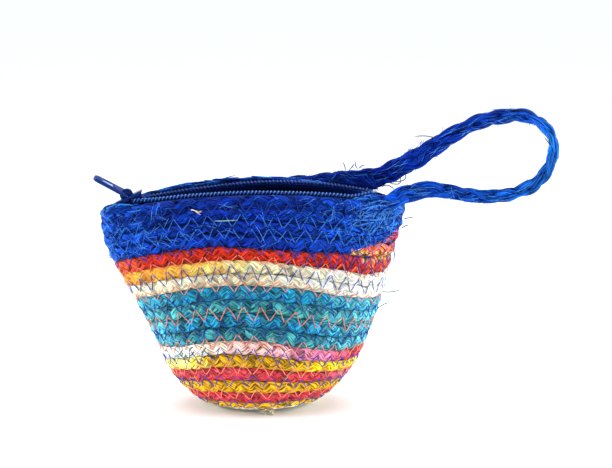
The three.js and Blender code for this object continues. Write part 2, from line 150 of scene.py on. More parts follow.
def wallOut(angle, row):
    nudge = 0.02
    along = wallPoint(angle + nudge, row) - wallPoint(angle - nudge, row)
    up = wallPoint(angle, row + nudge) - wallPoint(angle, row - nudge)
    return unit(np.cross(along, up))


def ringAngles(row):  # length so far and angle, round one row
    angle = np.linspace(0, fullTurn, pouch["ringSteps"])
    return runAlong(wallPoint(angle, row)), angle


# dyes as seen on the straw, sRGB charted
dyes = {
    "inkBlue": (2, 20, 84), "deepBlue": (2, 36, 140), "blue": (8, 66, 176), "skyBlue": (44, 122, 222),
    "iceBlue": (84, 156, 246), "slate": (44, 52, 84), "grey": (96, 112, 128), "tan": (150, 120, 96),
    "red": (198, 40, 18), "flame": (238, 98, 56), "orange": (246, 153, 44), "amber": (246, 188, 86),
    "straw": (246, 226, 164), "cream": (216, 201, 169), "white": (250, 246, 220), "ivory": (240, 255, 246),
    "teal": (24, 136, 175), "sea": (58, 142, 146), "reef": (34, 104, 126), "shallow": (92, 190, 208),
    "mist": (140, 196, 204), "blush": (240, 206, 194), "pink": (236, 178, 171), "rosy": (216, 130, 156),
    # natural is lightened as painted light from the bright floor on the base
    "rose": (192, 102, 138), "crimson": (188, 44, 56), "natural": (255, 238, 214), "lemon": (246, 234, 118),
    "sun": (236, 196, 10), "yellow": (218, 172, 6), "gold": (206, 153, 2), "ochre": (190, 139, 4),
}

# turn 0 is the right end, 0.25 the back, 0.5 the left end, 0.75 the front
# the paler tones towards the left and right ends of the rows (skyBlue, flame, lemon, ivory, white) are partly
# painted side light; the deepBlue across the front of the blue rows is painted front shade
rowDyesAndSideLight = (
    ((0, "natural"),),
    ((0, "yellow"), (0.5, "gold")),
    ((0, "crimson"),),
    ((0, "yellow"), (0.6, "gold"), (0.75, "ochre"), (0.88, "gold")),
    ((0, "rose"), (0.1, "crimson"), (0.85, "crimson")),
    ((0, "gold"), (0.4, "gold"), (0.5, "straw"), (0.56, "lemon"), (0.62, "lemon"), (0.66, "gold"),
     (0.7, "ochre"), (0.8, "gold"), (0.88, "sun"), (0.95, "sun")),
    ((0, "crimson"), (0.12, "rose"), (0.3, "pink"), (0.42, "cream"), (0.5, "ivory"), (0.62, "ivory"),
     (0.66, "cream"), (0.69, "blush"), (0.735, "pink"), (0.775, "pink"), (0.8, "rosy"), (0.86, "rose"),
     (0.93, "crimson")),
    ((0, "reef"),),
    ((0, "teal"),),
    ((0, "sea"),),
    ((0, "teal"),),
    ((0, "white"), (0.5, "white"), (0.62, "cream"), (0.76, "cream"), (0.84, "white")),
    ((0, "white"), (0.2, "straw"), (0.35, "amber"), (0.5, "orange"), (0.62, "orange"), (0.69, "amber"),
     (0.74, "straw"), (0.78, "cream"), (0.86, "white")),
    ((0, "flame"), (0.08, "red"), (0.4, "red"), (0.5, "flame"), (0.61, "red"), (0.9, "red")),
    ((0, "deepBlue"), (0.48, "skyBlue"), (0.55, "blue"), (0.75, "deepBlue"), (0.9, "blue")),
    ((0, "deepBlue"), (0.48, "skyBlue"), (0.55, "blue"), (0.75, "deepBlue"), (0.9, "blue")),
    ((0, "skyBlue"), (0.1, "deepBlue"), (0.48, "skyBlue"), (0.55, "blue"), (0.72, "deepBlue"),
     (0.88, "blue")),
    ((0, "skyBlue"), (0.1, "blue"), (0.48, "skyBlue"), (0.55, "blue"), (0.72, "deepBlue"), (0.88, "blue")),
)
strandShift = (-0.012, 0, 0.014, 0)  # turns by which each strand's dye is out of step

# rows whose strands were dyed in different baths, and how they fade paler towards both ends: painted side
# light
strandDyes = {7: ("reef", "sea", "reef"), 8: ("teal", "teal", "reef"),
              9: ("sea", "reef", "sea"), 10: ("teal", "reef", "teal")}
paleEnds = {"turns": (0, 0.06, 0.13, 0.42, 0.5, 0.56, 0.64, 0.82, 0.92),
            "share": (0.6, 0.45, 0, 0, 0.45, 0.4, 0, 0, 0.45), "dye": "shallow"}

# the red of row 14 runs on under the blue at the right end: turn and level of its edge
warmEnd = {
    "turns": (-0.14, -0.118, -0.085, -0.06, -0.035, 0.0, 0.03, 0.06),
    "levels": (13.9, 14.4, 14.9, 15.3, 15.9, 16.1, 15.2, 13.9),
    "strands": {13: ("red", "flame", "red", "red"), 14: ("flame", "flame", "flame", "red"),
                15: ("red", "flame", "red", "red")},
    "fromLevel": 13.4, "fromEdge": 14.5,
    "fleck": "amber", "fleckLevels": (13.72, 14.4), "fleckWaves": 480, "fleckCut": -0.1,  # along the seam
}


def linear(rgb):
    value = np.array(rgb, float) / 255
    return np.where(value <= 0.04045, value / 12.92, ((value + 0.055) / 1.055) ** 2.4)


def dyeRound(stops, turn):
    tones = np.array([linear(dyes[name]) for place, name in stops])
    return readAt(turn, [place for place, name in stops], tones, period=1)


def rowTones(row, turn, strands):  # dye of each point of a row's strands
    tones = []
    edge = np.interp((turn + 0.5) % 1 - 0.5, warmEnd["turns"], warmEnd["levels"])[:, None]
    for k, strand in enumerate(strands):
        place = turn + strandShift[k]
        if row in strandDyes:
            fade = np.interp(place, paleEnds["turns"], paleEnds["share"], period=1)[:, None]
            tone = linear(dyes[strandDyes[row][k % 3]]) * (1 - fade) + linear(dyes[paleEnds["dye"]]) * fade
        else:
            tone = dyeRound(rowDyesAndSideLight[row], place)
        tone = np.repeat(tone[:, None], strand.shape[1], 1)
        if row in warmEnd["strands"]:
            level = row + 0.5 + strand[..., 1] / pouch["rowHeight"]
            blueRow = row > warmEnd["fromLevel"]
            warm = (level < edge) & (blueRow | (level > warmEnd["fromLevel"]) & (edge > warmEnd["fromEdge"]))
            tone = np.where(warm[..., None], linear(dyes[warmEnd["strands"][row][k]]), tone)
            low, high = warmEnd["fleckLevels"]
            flecked = np.sin(turn * warmEnd["fleckWaves"] + 2 * k) > warmEnd["fleckCut"]
            fleck = warm & (level > low) & (level < high) & flecked[:, None]
            tone = np.where(fleck[..., None], linear(dyes[warmEnd["fleck"]]), tone)
        tones.append(tone)
    return np.stack(tones)


# materials
def feed(tree, socket, value):  # a fixed value, or a link from another node
    if isinstance(value, bpy.types.NodeSocket):
        tree.links.new(value, socket)
    else:
        socket.default_value = value


def addNode(tree, kind, **settings):
    node = tree.nodes.new("ShaderNode" + kind)
    for key, value in settings.items():
        if hasattr(node, key):
            setattr(node, key, value)
        else:
            feed(tree, node.inputs[key], value)
    return node


def addNoise(tree, vector, scale, detail, grit):
    return addNode(tree, "TexNoise", Vector=vector, Scale=scale, Detail=detail, Roughness=grit).outputs[0]


def addWave(tree, vector, direction, scale, distortion):
    wave = addNode(tree, "TexWave", bands_direction=direction, Vector=vector, Scale=scale,
                   Distortion=distortion)
    return wave.outputs[1]


def mapRange(tree, source, low, high, toLow, toHigh):
    node = addNode(tree, "MapRange")
    for socket, value in zip(node.inputs[:5], (source, low, high, toLow, toHigh)):
        feed(tree, socket, value)
    return node.outputs[0]


def blendColour(tree, kind, factor, first, second):
    node = addNode(tree, "Mix", data_type="RGBA", blend_type=kind)
    for k, value in ((0, factor), (6, first), (7, second)):
        feed(tree, node.inputs[k], value)
    return node.outputs[2]


def startFinish(name):
    material = bpy.data.materials.new(name)
    material.use_nodes = True
    return material, material.node_tree


def dress(material, tone, rough, look, height):
    tree = material.node_tree
    shader = tree.nodes["Principled BSDF"].inputs
    for key, value in (("Base Color", tone), ("Roughness", rough), ("Specular IOR Level", look["specular"]),
                       ("Coat Weight", look.get("coat", 0))):
        feed(tree, shader[key], value)
    if "bump" in look:
        strength, depth = look["bump"]
        bump = addNode(tree, "Bump", Height=height, Strength=strength, Distance=depth)
        feed(tree, shader["Normal"], bump.outputs[0])
    return material


strawLook = {
    "alongScale": 1.1, "acrossScale": 20,  # fibre streaks per 6 mm of strand and round it
    "streak": (1.0, 3.0, 0.6), "fine": (2.3, 2.0, 0.5),  # noise scale, detail, roughness
    "shadeFrom": (0.4, 0.6), "shadeLow": 0.12, "shadeHigh": 1.62,
    "paleFrom": (0.58, 0.74), "paleShare": 0.55, "paleTint": (1, 0.9, 0.85), "tintShare": 0.14,
    "lighten": 0.55, "roughness": (0.3, 0.7, 0.62, 0.36), "bump": (0.7, 0.0003), "specular": 0.12,
}


def strawFinish(name, **changes):
    look = {**strawLook, **changes}
    material, tree = startFinish(name)
    uv = addNode(tree, "UVMap", uv_map="fibre").outputs[0]
    dye = addNode(tree, "Attribute", attribute_name="dye").outputs["Color"]
    scale = (look["alongScale"], look["acrossScale"], 1)
    stretch = addNode(tree, "Mapping", Vector=uv, Scale=scale).outputs[0]
    streak, fine = addNoise(tree, stretch, *look["streak"]), addNoise(tree, stretch, *look["fine"])
    shade = mapRange(tree, streak, *look["shadeFrom"], look["shadeLow"], look["shadeHigh"])
    tone = blendColour(tree, "MULTIPLY", 1.0, dye, shade)
    pale = mapRange(tree, fine, *look["paleFrom"], 0.0, look["paleShare"])
    lighter = blendColour(tree, "SCREEN", look["lighten"], dye, dye)
    lighter = blendColour(tree, "MIX", look["tintShare"], lighter, (*look["paleTint"], 1))
    tone = blendColour(tree, "MIX", pale, tone, lighter)
    return dress(material, tone, mapRange(tree, streak, *look["roughness"]), look, streak)


brightStraw = strawFinish("dyedStraw")
blueStraw = strawFinish("blueStraw", shadeLow=0.05, shadeHigh=2.0, alongScale=0.8, specular=0.08,
                        paleTint=(0.2, 0.5, 1), tintShare=0.2)
loopStraw = strawFinish("loopStraw", shadeLow=0.02, shadeHigh=2.3, alongScale=0.6, acrossScale=17,
                        specular=0.04, paleShare=0.75, paleTint=(0.2, 0.5, 1), tintShare=0.24)
warmStraw = strawFinish("warmStraw", shadeLow=0.16, shadeHigh=1.42, paleShare=0.9, tintShare=0.34)
paleStraw = strawFinish("paleStraw", shadeLow=0.5, shadeHigh=1.2, paleShare=0.5)
threadLook = {"twist": ("DIAGONAL", 1.6, 0.6), "shade": (0, 1, 0.75, 1.2), "bump": (0.4, 0.0001),
              "roughness": 0.55, "specular": 0.2}


def threadFinish(name, colour):
    material, tree = startFinish(name)
    twist = addWave(tree, addNode(tree, "UVMap", uv_map="fibre").outputs[0], *threadLook["twist"])
    shade = mapRange(tree, twist, *threadLook["shade"])
    tone = blendColour(tree, "MULTIPLY", 1.0, (*linear(colour), 1), shade)
    return dress(material, tone, threadLook["roughness"], threadLook, twist)


# speckled plain finishes: noise scale, detail, roughness, then how it maps to shade and roughness
nylonLook = {"speck": (900.0, 2.0, 0.5), "shade": (0.3, 0.7, 0.8, 1.2), "rough": (0.3, 0.7, 0.2, 0.32),
             "specular": 0.5}
paintLook = {"speck": (420.0, 4.0, 0.6), "shade": (0.3, 0.7, 0.75, 1.3), "rough": (0.3, 0.7, 0.12, 0.26),
             "bump": (0.08, 0.0001), "coat": 0.03, "specular": 0.1}
floorLook = {"speck": (30.0, 2.0, 0.5), "shade": (0, 1, 1.0, 1.02), "rough": (0, 1, 0.6, 0.6),
             "specular": 0.2}


def speckFinish(name, tone, look):  # tone is linear
    material, tree = startFinish(name)
    speck = addNoise(tree, addNode(tree, "TexCoord").outputs["Object"], *look["speck"])
    tone = blendColour(tree, "MULTIPLY", 1.0, (*tone, 1), mapRange(tree, speck, *look["shade"]))
    return dress(material, tone, mapRange(tree, speck, *look["rough"]), look, speck)


# mesh helpers, all lengths in mm
def gridFaces(count, rings, sides, closed):
    i, j = np.meshgrid(np.arange(rings if closed else rings - 1), np.arange(sides), indexing="ij")
    nextRing, nextSide = (i + 1) % rings, (j + 1) % sides
    quad = np.stack([i * sides + j, i * sides + nextSide,
                     nextRing * sides + nextSide, nextRing * sides + j], -1)
    corner = np.stack([np.stack(pair, -1) for pair in ((i, j), (i, j + 1), (i + 1, j + 1), (i + 1, j))], -2)
    starts = (np.arange(count) * rings * sides)[:, None, None]
    faces = (quad.reshape(-1, 4)[None] + starts).reshape(-1, 4)
    return faces, np.tile(corner.reshape(-1, 4, 2), (count, 1, 1))


def endCaps(count, rings, sides):
    caps = []
    for first in range(0, count * rings * sides, rings * sides):
        final = first + (rings - 1) * sides
        caps += [list(range(first, first + sides))[::-1], list(range(final, final + sides))]
    return caps


def finishMesh(name, points, faces, uv, dye, material, nodes=(), caps=(), body="purse"):
    mesh = bpy.data.meshes.new(name)
    mesh.from_pydata((points * mm).tolist(), [], faces.tolist() + list(caps))
    flat = np.zeros((len(mesh.loops), 2), np.float32)
    flat[: len(faces) * 4] = uv.reshape(-1, 2)
    mesh.uv_layers.new(name="fibre").data.foreach_set("uv", flat.ravel())
    if dye is not None:
        tones = np.ones((len(points), 4), np.float32)
        tones[:, :3] = dye
        mesh.attributes.new("dye", "FLOAT_COLOR", "POINT").data.foreach_set("color", tones.ravel())
    mesh.polygons.foreach_set("use_smooth", np.ones(len(mesh.polygons), bool))
    mesh.materials.append(material)
    piece = bpy.data.objects.new(name, mesh)
    scene.collection.objects.link(piece)
    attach(piece, body)
    if nodes:
        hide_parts(*nodes)
    return piece


def tubePiece(name, paths, outward, radius, sides, material, dye=None, nodes=()):
    count, rings = paths.shape[:2]  # paths (n, k, 3), radius broadcast to (n, k)
    along = unit(np.gradient(paths, axis=1))
    side = unit(np.cross(outward, along))
    up = np.cross(along, side)
    turn = fullTurn * np.arange(sides) / sides
    ring = np.cos(turn)[:, None] * side[:, :, None] + np.sin(turn)[:, None] * up[:, :, None]
    points = paths[:, :, None] + np.broadcast_to(radius, (count, rings))[..., None, None] * ring
    faces, corners = gridFaces(count, rings, sides, False)
    which = np.repeat(np.arange(count), (rings - 1) * sides)[:, None]
    apart = 3.1  # so that no two tubes have the same streaks
    uv = np.stack([runAlong(paths)[which, corners[..., 0]] + which * apart, corners[..., 1] / sides], -1)
    tones = None if dye is None else np.repeat(dye, rings * sides, 0)
    return finishMesh(name, points.reshape(-1, 3), faces, uv, tones, material, nodes,
                      endCaps(count, rings, sides))


# three-strand plait laid flat: along, across, out
rowPlait = {
    "lobe": 5.2, "sweep": 1.9, "lift": 0.5, "roll": 0.3, "half": 2.82,
    "edgeWidth": 1.5, "crossWidth": 2.15, "edgeThick": 0.6, "crossThick": 0.44,
    "ridge": 0.1, "wander": 0.1, "step": 0.8, "around": 16,
    "shadow": 0.08, "bright": 1.06, "litFrom": 0.0, "litTo": 0.45,  # painted shade of low straw and painted highlight of proud straw, and the heights between
    "lobeShade": 0.18, "fibreShade": 0.16,
    "core": (2.5, -0.45, 1.0, 0.4, 0.95),  # straw under the seam: across, out, half width, thickness, painted shade
}
# the base coil gets almost no painted shade, and its natural dye is lightened as painted light from the
# bright floor
basePlait = {**rowPlait, "shadow": 0.8}
palePlait = {**rowPlait, "shadow": 0.4, "bright": 1.25}
tealPlait = {**rowPlait, "bright": 1.16}
bluePlait = {**rowPlait, "lobe": 6.2, "lift": 0.56, "roll": 0.45, "half": 2.9,
             "edgeWidth": 1.15, "crossWidth": 1.9, "edgeThick": 0.62, "crossThick": 0.48,
             "ridge": 0.2, "wander": 0.17, "shadow": 0.12, "bright": 1.28, "litFrom": -0.25, "litTo": 0.96}
rimPlait = {**bluePlait, "lobe": 8.5, "core": (-2.2, 0.1, 1.2, 0.5, 0.6)}

# place across the plait: quick where a strand crosses on top, slow underneath
swing = {"degrees": (-20, 70, 160, 250), "across": (-0.6, 1, 0.6, -1), "blur": range(-24, 25, 12)}


def plaitSwing(phase):
    turn = np.degrees(phase)
    return np.mean([np.interp(turn + blur, swing["degrees"], swing["across"], period=360)
                    for blur in swing["blur"]], 0)


def plaitStrands(random, length, plait, closed, widen=None):
    laps = max(2, round(length / (3 * plait["lobe"])))
    rings = int(length / plait["step"])
    run = length * np.arange(rings) / (rings if closed else rings - 1)
    theta = fullTurn * np.arange(plait["around"]) / plait["around"]
    c, s = np.cos(theta), np.sin(theta)
    wander = lambda low, high: plait["wander"] * wobble(random, rings, low * laps, high * laps)
    strands, shades = [], []
    for k in range(3):
        phase = -fullTurn * laps * run / length + fullTurn * k / 3
        crossing = np.cos(phase - 0.42) ** 2
        across = plait["sweep"] * plaitSwing(phase) + wander(1, 5)
        out = plait["lift"] * np.sin(2 * phase + 0.35) + 0.6 * wander(1, 6)
        wide = plait["edgeWidth"] + (plait["crossWidth"] - plait["edgeWidth"]) * crossing
        wide = wide * (1 + 0.8 * wander(1, 4))
        thick = plait["edgeThick"] + (plait["crossThick"] - plait["edgeThick"]) * crossing
        centre = np.stack([run, across, out], -1)
        if closed:
            along = np.roll(centre, -1, 0) - np.roll(centre, 1, 0)
            along[[0, -1], 0] += length
        else:
            along = np.gradient(centre, axis=0)
        along = unit(along)
        flatSide = unit(np.stack([-along[:, 1], along[:, 0], np.zeros(rings)], -1))
        flatUp = np.cross(along, flatSide)
        lean = -plait["roll"] * np.sin(phase) * np.sin(2 * phase) + 0.5 * wander(1, 4)
        side = flatSide * np.cos(lean)[:, None] + flatUp * np.sin(lean)[:, None]
        up = np.cross(along, side)
        ridge = plait["ridge"] * random.uniform(-1, 1, plait["around"])
        ridge = ridge * (1 + 0.6 * wobble(random, rings, 2, laps))[:, None]
        x = wide[:, None] * np.sign(c) * np.abs(c) ** 0.85
        y = (thick[:, None] + ridge) * np.sign(s) * np.abs(s) ** 0.7
        if not closed:  # ends drawn in to a blunt point
            taper = np.minimum(1, np.minimum(np.arange(rings), np.arange(rings)[::-1]) / 4 + 0.12)
            x, y = x * taper[:, None], y * taper[:, None]
        strand = centre[:, None] + x[..., None] * side[:, None] + y[..., None] * up[:, None]
        fold = (1 + np.abs(strand[..., 1] / plait["half"]) ** 5) ** 0.2
        strand[..., 1] /= fold  # turned in along the edges of the plait
        if widen:
            strand[..., 1] *= widen(run / length)[:, None]
        strands.append(strand)
        lobe = np.floor(phase / math.pi).astype(int) % (2 * laps)
        shade = random.normal(1, plait["lobeShade"], 2 * laps)[lobe][:, None]
        shade = shade * random.normal(1, plait["fibreShade"], plait["around"])
        # painted shade on tucked straw and painted highlight on proud straw, by height
        height = strand[..., 2] if closed else np.abs(strand[..., 2]) + 0.2
        proud = np.clip((height - plait["litFrom"]) / (plait["litTo"] - plait["litFrom"]), 0, 1)
        shades.append(shade * (plait["shadow"] + (plait["bright"] - plait["shadow"]) * ease(proud)))
    if closed:
        place, out, wide, thick, shade = plait["core"]
        strands.append(np.stack(np.broadcast_arrays(run[:, None], place + wide * c, out + thick * s), -1))
        # painted shade on the straw under the seam
        shades.append(np.full((rings, plait["around"]), shade))
    return np.stack(strands), np.stack(shades), run


def plaitPiece(name, strands, shades, run, seat, tones, material, node, closed, offset):
    count, rings, sides = strands.shape[:3]
    points = seat(strands.reshape(-1, 3))
    points[:, 2] = np.maximum(points[:, 2], 0.02)  # straw pressed flat where it stands
    faces, corners = gridFaces(count, rings, sides, closed)
    which = np.repeat(np.arange(count), len(faces) // count)[:, None]
    patch, apart = 6, 17.3  # mm of strand to one streak pattern, and where the next strand's starts
    along = corners[..., 0] * (run[1] - run[0]) / patch + which * apart + offset
    uv = np.stack([along, corners[..., 1] / sides + which], -1)
    # each point's dye times its painted shade and painted highlight
    dye = np.clip((tones * shades[..., None]).reshape(-1, 3), 0, 1)
    caps = () if closed else endCaps(count, rings, sides)
    return finishMesh(name, points, faces, uv, dye, material, [node], caps)


# rows of the pouch
def wallSeat(row, run, angle):  # puts flat (along, across, out) onto the wall at this row
    def seat(flat):
        where = np.interp(np.mod(flat[..., 0], run[-1]), run, angle)
        level = row + flat[..., 1] / pouch["rowHeight"]
        return wallPoint(where, level) + flat[..., 2:3] * wallOut(where, level)

    return seat


rowKinds = {0: (basePlait, brightStraw), 2: (rowPlait, warmStraw), 4: (rowPlait, warmStraw),
            6: (palePlait, brightStraw), 11: (palePlait, paleStraw), 12: (palePlait, paleStraw),
            17: (rimPlait, blueStraw)}
rowKinds.update({row: (tealPlait, brightStraw) for row in strandDyes})
rowKinds.update({row: (bluePlait, blueStraw) for row in (14, 15, 16)})
plaits = []
for row, node in enumerate(sorted(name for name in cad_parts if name.startswith("row_"))):
    random = np.random.default_rng(40 + row)
    plait, finish = rowKinds.get(row, (rowPlait, brightStraw))
    ringRun, ringAngle = ringAngles(row + 0.5)
    strands, shades, run = plaitStrands(random, ringRun[-1], plait, True)
    tones = rowTones(row, np.interp(run, ringRun, ringAngle) / fullTurn, strands)
    slotName = node.split("_")[2] + "_straw"
    seat = wallSeat(row + 0.5, ringRun, ringAngle)
    plaits.append(plaitPiece("plait_" + node[4:], strands, shades, run, seat, tones, finish,
                             node, True, row * 5.7))
print("rows plaited:", len(plaits))


# base: the plait wound from the middle, pressed flat on the floor
baseCoil = {"inner": 2.4, "pitch": 5.3, "turns": 2.15, "oval": 0.94, "middle": 1.4, "steps": 600}


def baseSeat(flat):
    theta = np.linspace(0, fullTurn * baseCoil["turns"], baseCoil["steps"])
    radius = baseCoil["inner"] + baseCoil["pitch"] * theta / fullTurn
    run = runAlong(np.stack([radius * np.cos(theta), radius * np.sin(theta)], -1))
    where = np.interp(flat[:, 0], run, theta)
    reach = np.interp(flat[:, 0], run, radius) + flat[:, 1]
    height = baseCoil["middle"] - flat[:, 2]
    return np.stack([reach * np.cos(where), reach * np.sin(where) * baseCoil["oval"], height], -1)


random = np.random.default_rng(31)
spiral = math.pi * baseCoil["turns"] * (2 * baseCoil["inner"] + baseCoil["pitch"] * baseCoil["turns"])
strands, shades, run = plaitStrands(random, spiral, rowPlait, False)
plaits.append(plaitPiece("plait_base", strands, shades, run, baseSeat, linear(dyes["natural"]), brightStraw,
                         "base_coil", False, 3.3))
print("base wound")


# wrist loop: a looser plait carried round the frame's stations
wristLoop = {
    "plait": {**bluePlait, "lobe": 9.0, "sweep": 1.6, "lift": 0.72, "litTo": 1.12, "half": 3.2,
              "edgeWidth": 1.5, "crossWidth": 1.9, "edgeThick": 1.15, "crossThick": 0.95,
              "wander": 0.14, "step": 0.7, "around": 18},
    "fullWidth": 5.2,  # width of that plait, scaled to each station's own
    "dyes": (  # share of the way round, colour
        (0, (1, 22, 96)), (0.17, (1, 24, 104)), (0.22, (2, 28, 116)), (0.29, (2, 37, 132)),
        (0.38, (3, 33, 124)), (0.47, (5, 41, 127)), (0.54, (12, 66, 160)), (0.6, (20, 98, 190)),
        (0.72, (14, 80, 172)), (0.85, (6, 54, 148)), (1, (6, 54, 148))),
    "stations": (  # x, y, z, twist, width
        (6, 13.3, 82.2, 22, 6.2), (15, 12.5, 83.1, 22, 7), (24, 11.5, 84, 22, 7.6),
        (35, 10.1, 85.2, 18, 7.6), (46, 8.4, 86.6, 10, 7.8), (55.4, 6.9, 91, 5, 7.8),
        (64.6, 6, 96.6, 10, 7.4), (73.8, 5, 102.8, 15, 6.4), (83, 4, 107.6, 20, 6),
        (92.3, 3, 110, 30, 6.2), (101.2, 2, 110.2, 50, 6), (109.4, 1, 105.4, 75, 5.6),
        (112, 0, 96.6, 75, 5.2), (107, -1.5, 86.4, 50, 5.2), (98, -2.2, 81.4, 25, 5.2),
        (86.5, -3, 79.9, 10, 5.2), (76, -3.6, 81.2, 0, 5.4), (65.5, -4.7, 83, 5, 6.2),
        (56.5, -5.7, 81.5, 12, 6.8), (47.5, -7.1, 78.4, 20, 7)),
    "perSpan": 24, "backSpans": 10,  # steps between stations, spans of the arm behind
}


def smoothRoute(stations, perSpan):  # smooth curve through the stations
    p = np.array(stations, float)
    slope = np.gradient(p, axis=0)
    t = np.linspace(0, 1, perSpan, endpoint=False)[:, None]
    spans = [cubic(p[i], p[i + 1], slope[i], slope[i + 1], t) for i in range(len(p) - 1)]
    return np.concatenate(spans + [p[-1:]])


loopRoute = smoothRoute(wristLoop["stations"], wristLoop["perSpan"])
loopRun = runAlong(loopRoute[:, :3])
loopLength = loopRun[-1]
loopAlong = unit(np.gradient(loopRoute[:, :3], axis=0))
loopUp = -unit(np.cross(loopAlong, [0.0, 1.0, 0.0]))
twist = np.radians(loopRoute[:, 3])[:, None]
loopUp = loopUp * np.cos(twist) + np.cross(loopAlong, loopUp) * np.sin(twist)
loopOut = np.cross(loopAlong, loopUp)


def onLoop(place):  # middle of the strap at this length, its up and out, half its width
    half = np.interp(place, loopRun, loopRoute[:, 4])[..., None] / 2
    return [readAt(place, loopRun, table) for table in (loopRoute, loopUp, loopOut)] + [half]


def loopSeat(flat):
    middle, up, out, half = onLoop(flat[:, 0])
    return middle + flat[:, 1:2] * up + flat[:, 2:3] * out


def ownWidth(share):
    return np.interp(share * loopLength, loopRun, loopRoute[:, 4]) / wristLoop["fullWidth"]


random = np.random.default_rng(77)
strands, shades, run = plaitStrands(random, loopLength, wristLoop["plait"], False, ownWidth)
stops = np.array([linear(tone) for place, tone in wristLoop["dyes"]])
tones = readAt(run / loopLength, [place for place, tone in wristLoop["dyes"]], stops)[None, :, None]
plaits.append(plaitPiece("plait_wrist_loop", strands, shades, run, loopSeat, tones, loopStraw,
                         "wrist_loop", False, 1.9))
print("wrist loop plaited:", round(loopLength), "mm")


# thread and loose straw pulled tight over the plaits
tight = {"from": 4, "reach": 7.5, "missed": 0.4, "least": 0.2, "most": 2.2, "taut": 0.35}  # mm off the wall
corners, polygons = [], []
for piece in plaits:
    start = len(corners)
    corners += [v.co.copy() for v in piece.data.vertices]
    polygons += [[start + i for i in p.vertices] for p in piece.data.polygons]
strawSkin = BVHTree.FromPolygons(corners, polygons)


def tightOver(points, outward):  # lifts each path of points onto the straw, taut between high spots
    seated = points.copy()
    for path, normals in zip(seated, outward):
        height = np.empty(len(path))
        for k, (point, normal) in enumerate(zip(path, normals)):
            start = Vector((point + normal * tight["from"]) * mm)
            hit = strawSkin.ray_cast(start, Vector(-normal), tight["reach"] * mm)
            height[k] = tight["missed"] if hit[0] is None else tight["from"] - hit[3] / mm
        height = np.clip(height, tight["least"], tight["most"])
        place = np.linspace(0, 1, len(path))
        taut = height.copy()
        for a in range(len(path)):
            for b in range(a + 1, len(path)):
                line = height[a] + (height[b] - height[a]) * (place - place[a]) / (place[b] - place[a])
                taut[a:b + 1] = np.maximum(taut[a:b + 1], line[a:b + 1])
        path += normals * (height + (taut - height) * tight["taut"])[:, None]
    return seated


# zigzag seams
seamThread = {
    "radius": 0.165, "sides": 5, "points": 7, "stand": 0.08, "dive": 0.35,
    "jitterAlong": 0.6, "jitterAcross": 0.45, "bow": 0.25,
    "colours": {"blue": (34, 66, 178), "sky": (56, 124, 226), "coral": (250, 144, 122)},
    "slots": {"blue": "blue_straw", "sky": "blue_straw", "coral": "crimson_straw"},
    "seams": (  # seam, colour, reach to each side, length of one zigzag, first and last turn if not all round
        (2, "blue", 2.4, 6.0), (3, "coral", 2.0, 6.2), (4, "blue", 2.6, 6.0), (5, "coral", 2.2, 6.2),
        (6, "blue", 2.8, 6.1), (7, "coral", 2.3, 6.2), (8, "blue", 2.8, 6.2), (9, "coral", 2.6, 6.1),
        (10, "blue", 2.8, 6.0), (11, "coral", 2.1, 6.3), (12, "blue", 3.4, 6.1), (13, "coral", 1.7, 6.4),
        (13.45, "blue", 3.2, 5.6, 0.79, 0.99), (14, "blue", 2.7, 6.6), (15, "sky", 2.6, 6.6),
        (16, "sky", 2.6, 6.4), (17, "blue", 2.4, 6.6)),
}


def zigzag(random, seam, reach, period, start=0, end=1):
    run, angle = ringAngles(seam)
    count = 2 * round((end - start) * run[-1] / period)
    where = (start + (end - start) * np.arange(count + 1) / count) * run[-1]
    along, across = seamThread["jitterAlong"], seamThread["jitterAcross"]
    where[1:-1] += random.uniform(-along, along, count - 1)
    level = np.where(np.arange(count + 1) % 2 == 0, reach, -reach)
    level = level + random.uniform(-across, across, count + 1)
    if end - start == 1:
        level[-1] = level[0]
    t = np.linspace(0, 1, seamThread["points"])
    place = where[:-1, None] + np.diff(where)[:, None] * t
    rise = level[:-1, None] + np.diff(level)[:, None] * t
    rise = rise + seamThread["bow"] * random.normal(0, 1, (count, 1)) * bow(t)
    height = seam + rise / pouch["rowHeight"]
    turn = np.interp(np.mod(place, run[-1]), run, angle)
    return wallPoint(turn, height), wallOut(turn, height)


random = np.random.default_rng(12)
for colour, tone in seamThread["colours"].items():
    runs = [zigzag(random, seam, *rest) for seam, shade, *rest in seamThread["seams"] if shade == colour]
    paths, normals = (np.concatenate(part) for part in zip(*runs))
    seated = tightOver(paths, normals) + normals * seamThread["stand"]
    seated[:, [0, -1]] -= normals[:, [0, -1]] * seamThread["dive"]  # each stitch dives into the plait
    tubePiece("seam_stitches_" + colour, seated, normals, seamThread["radius"], seamThread["sides"],
              threadFinish(colour + "Thread", tone))
    print("seam stitches:", colour, len(seated))


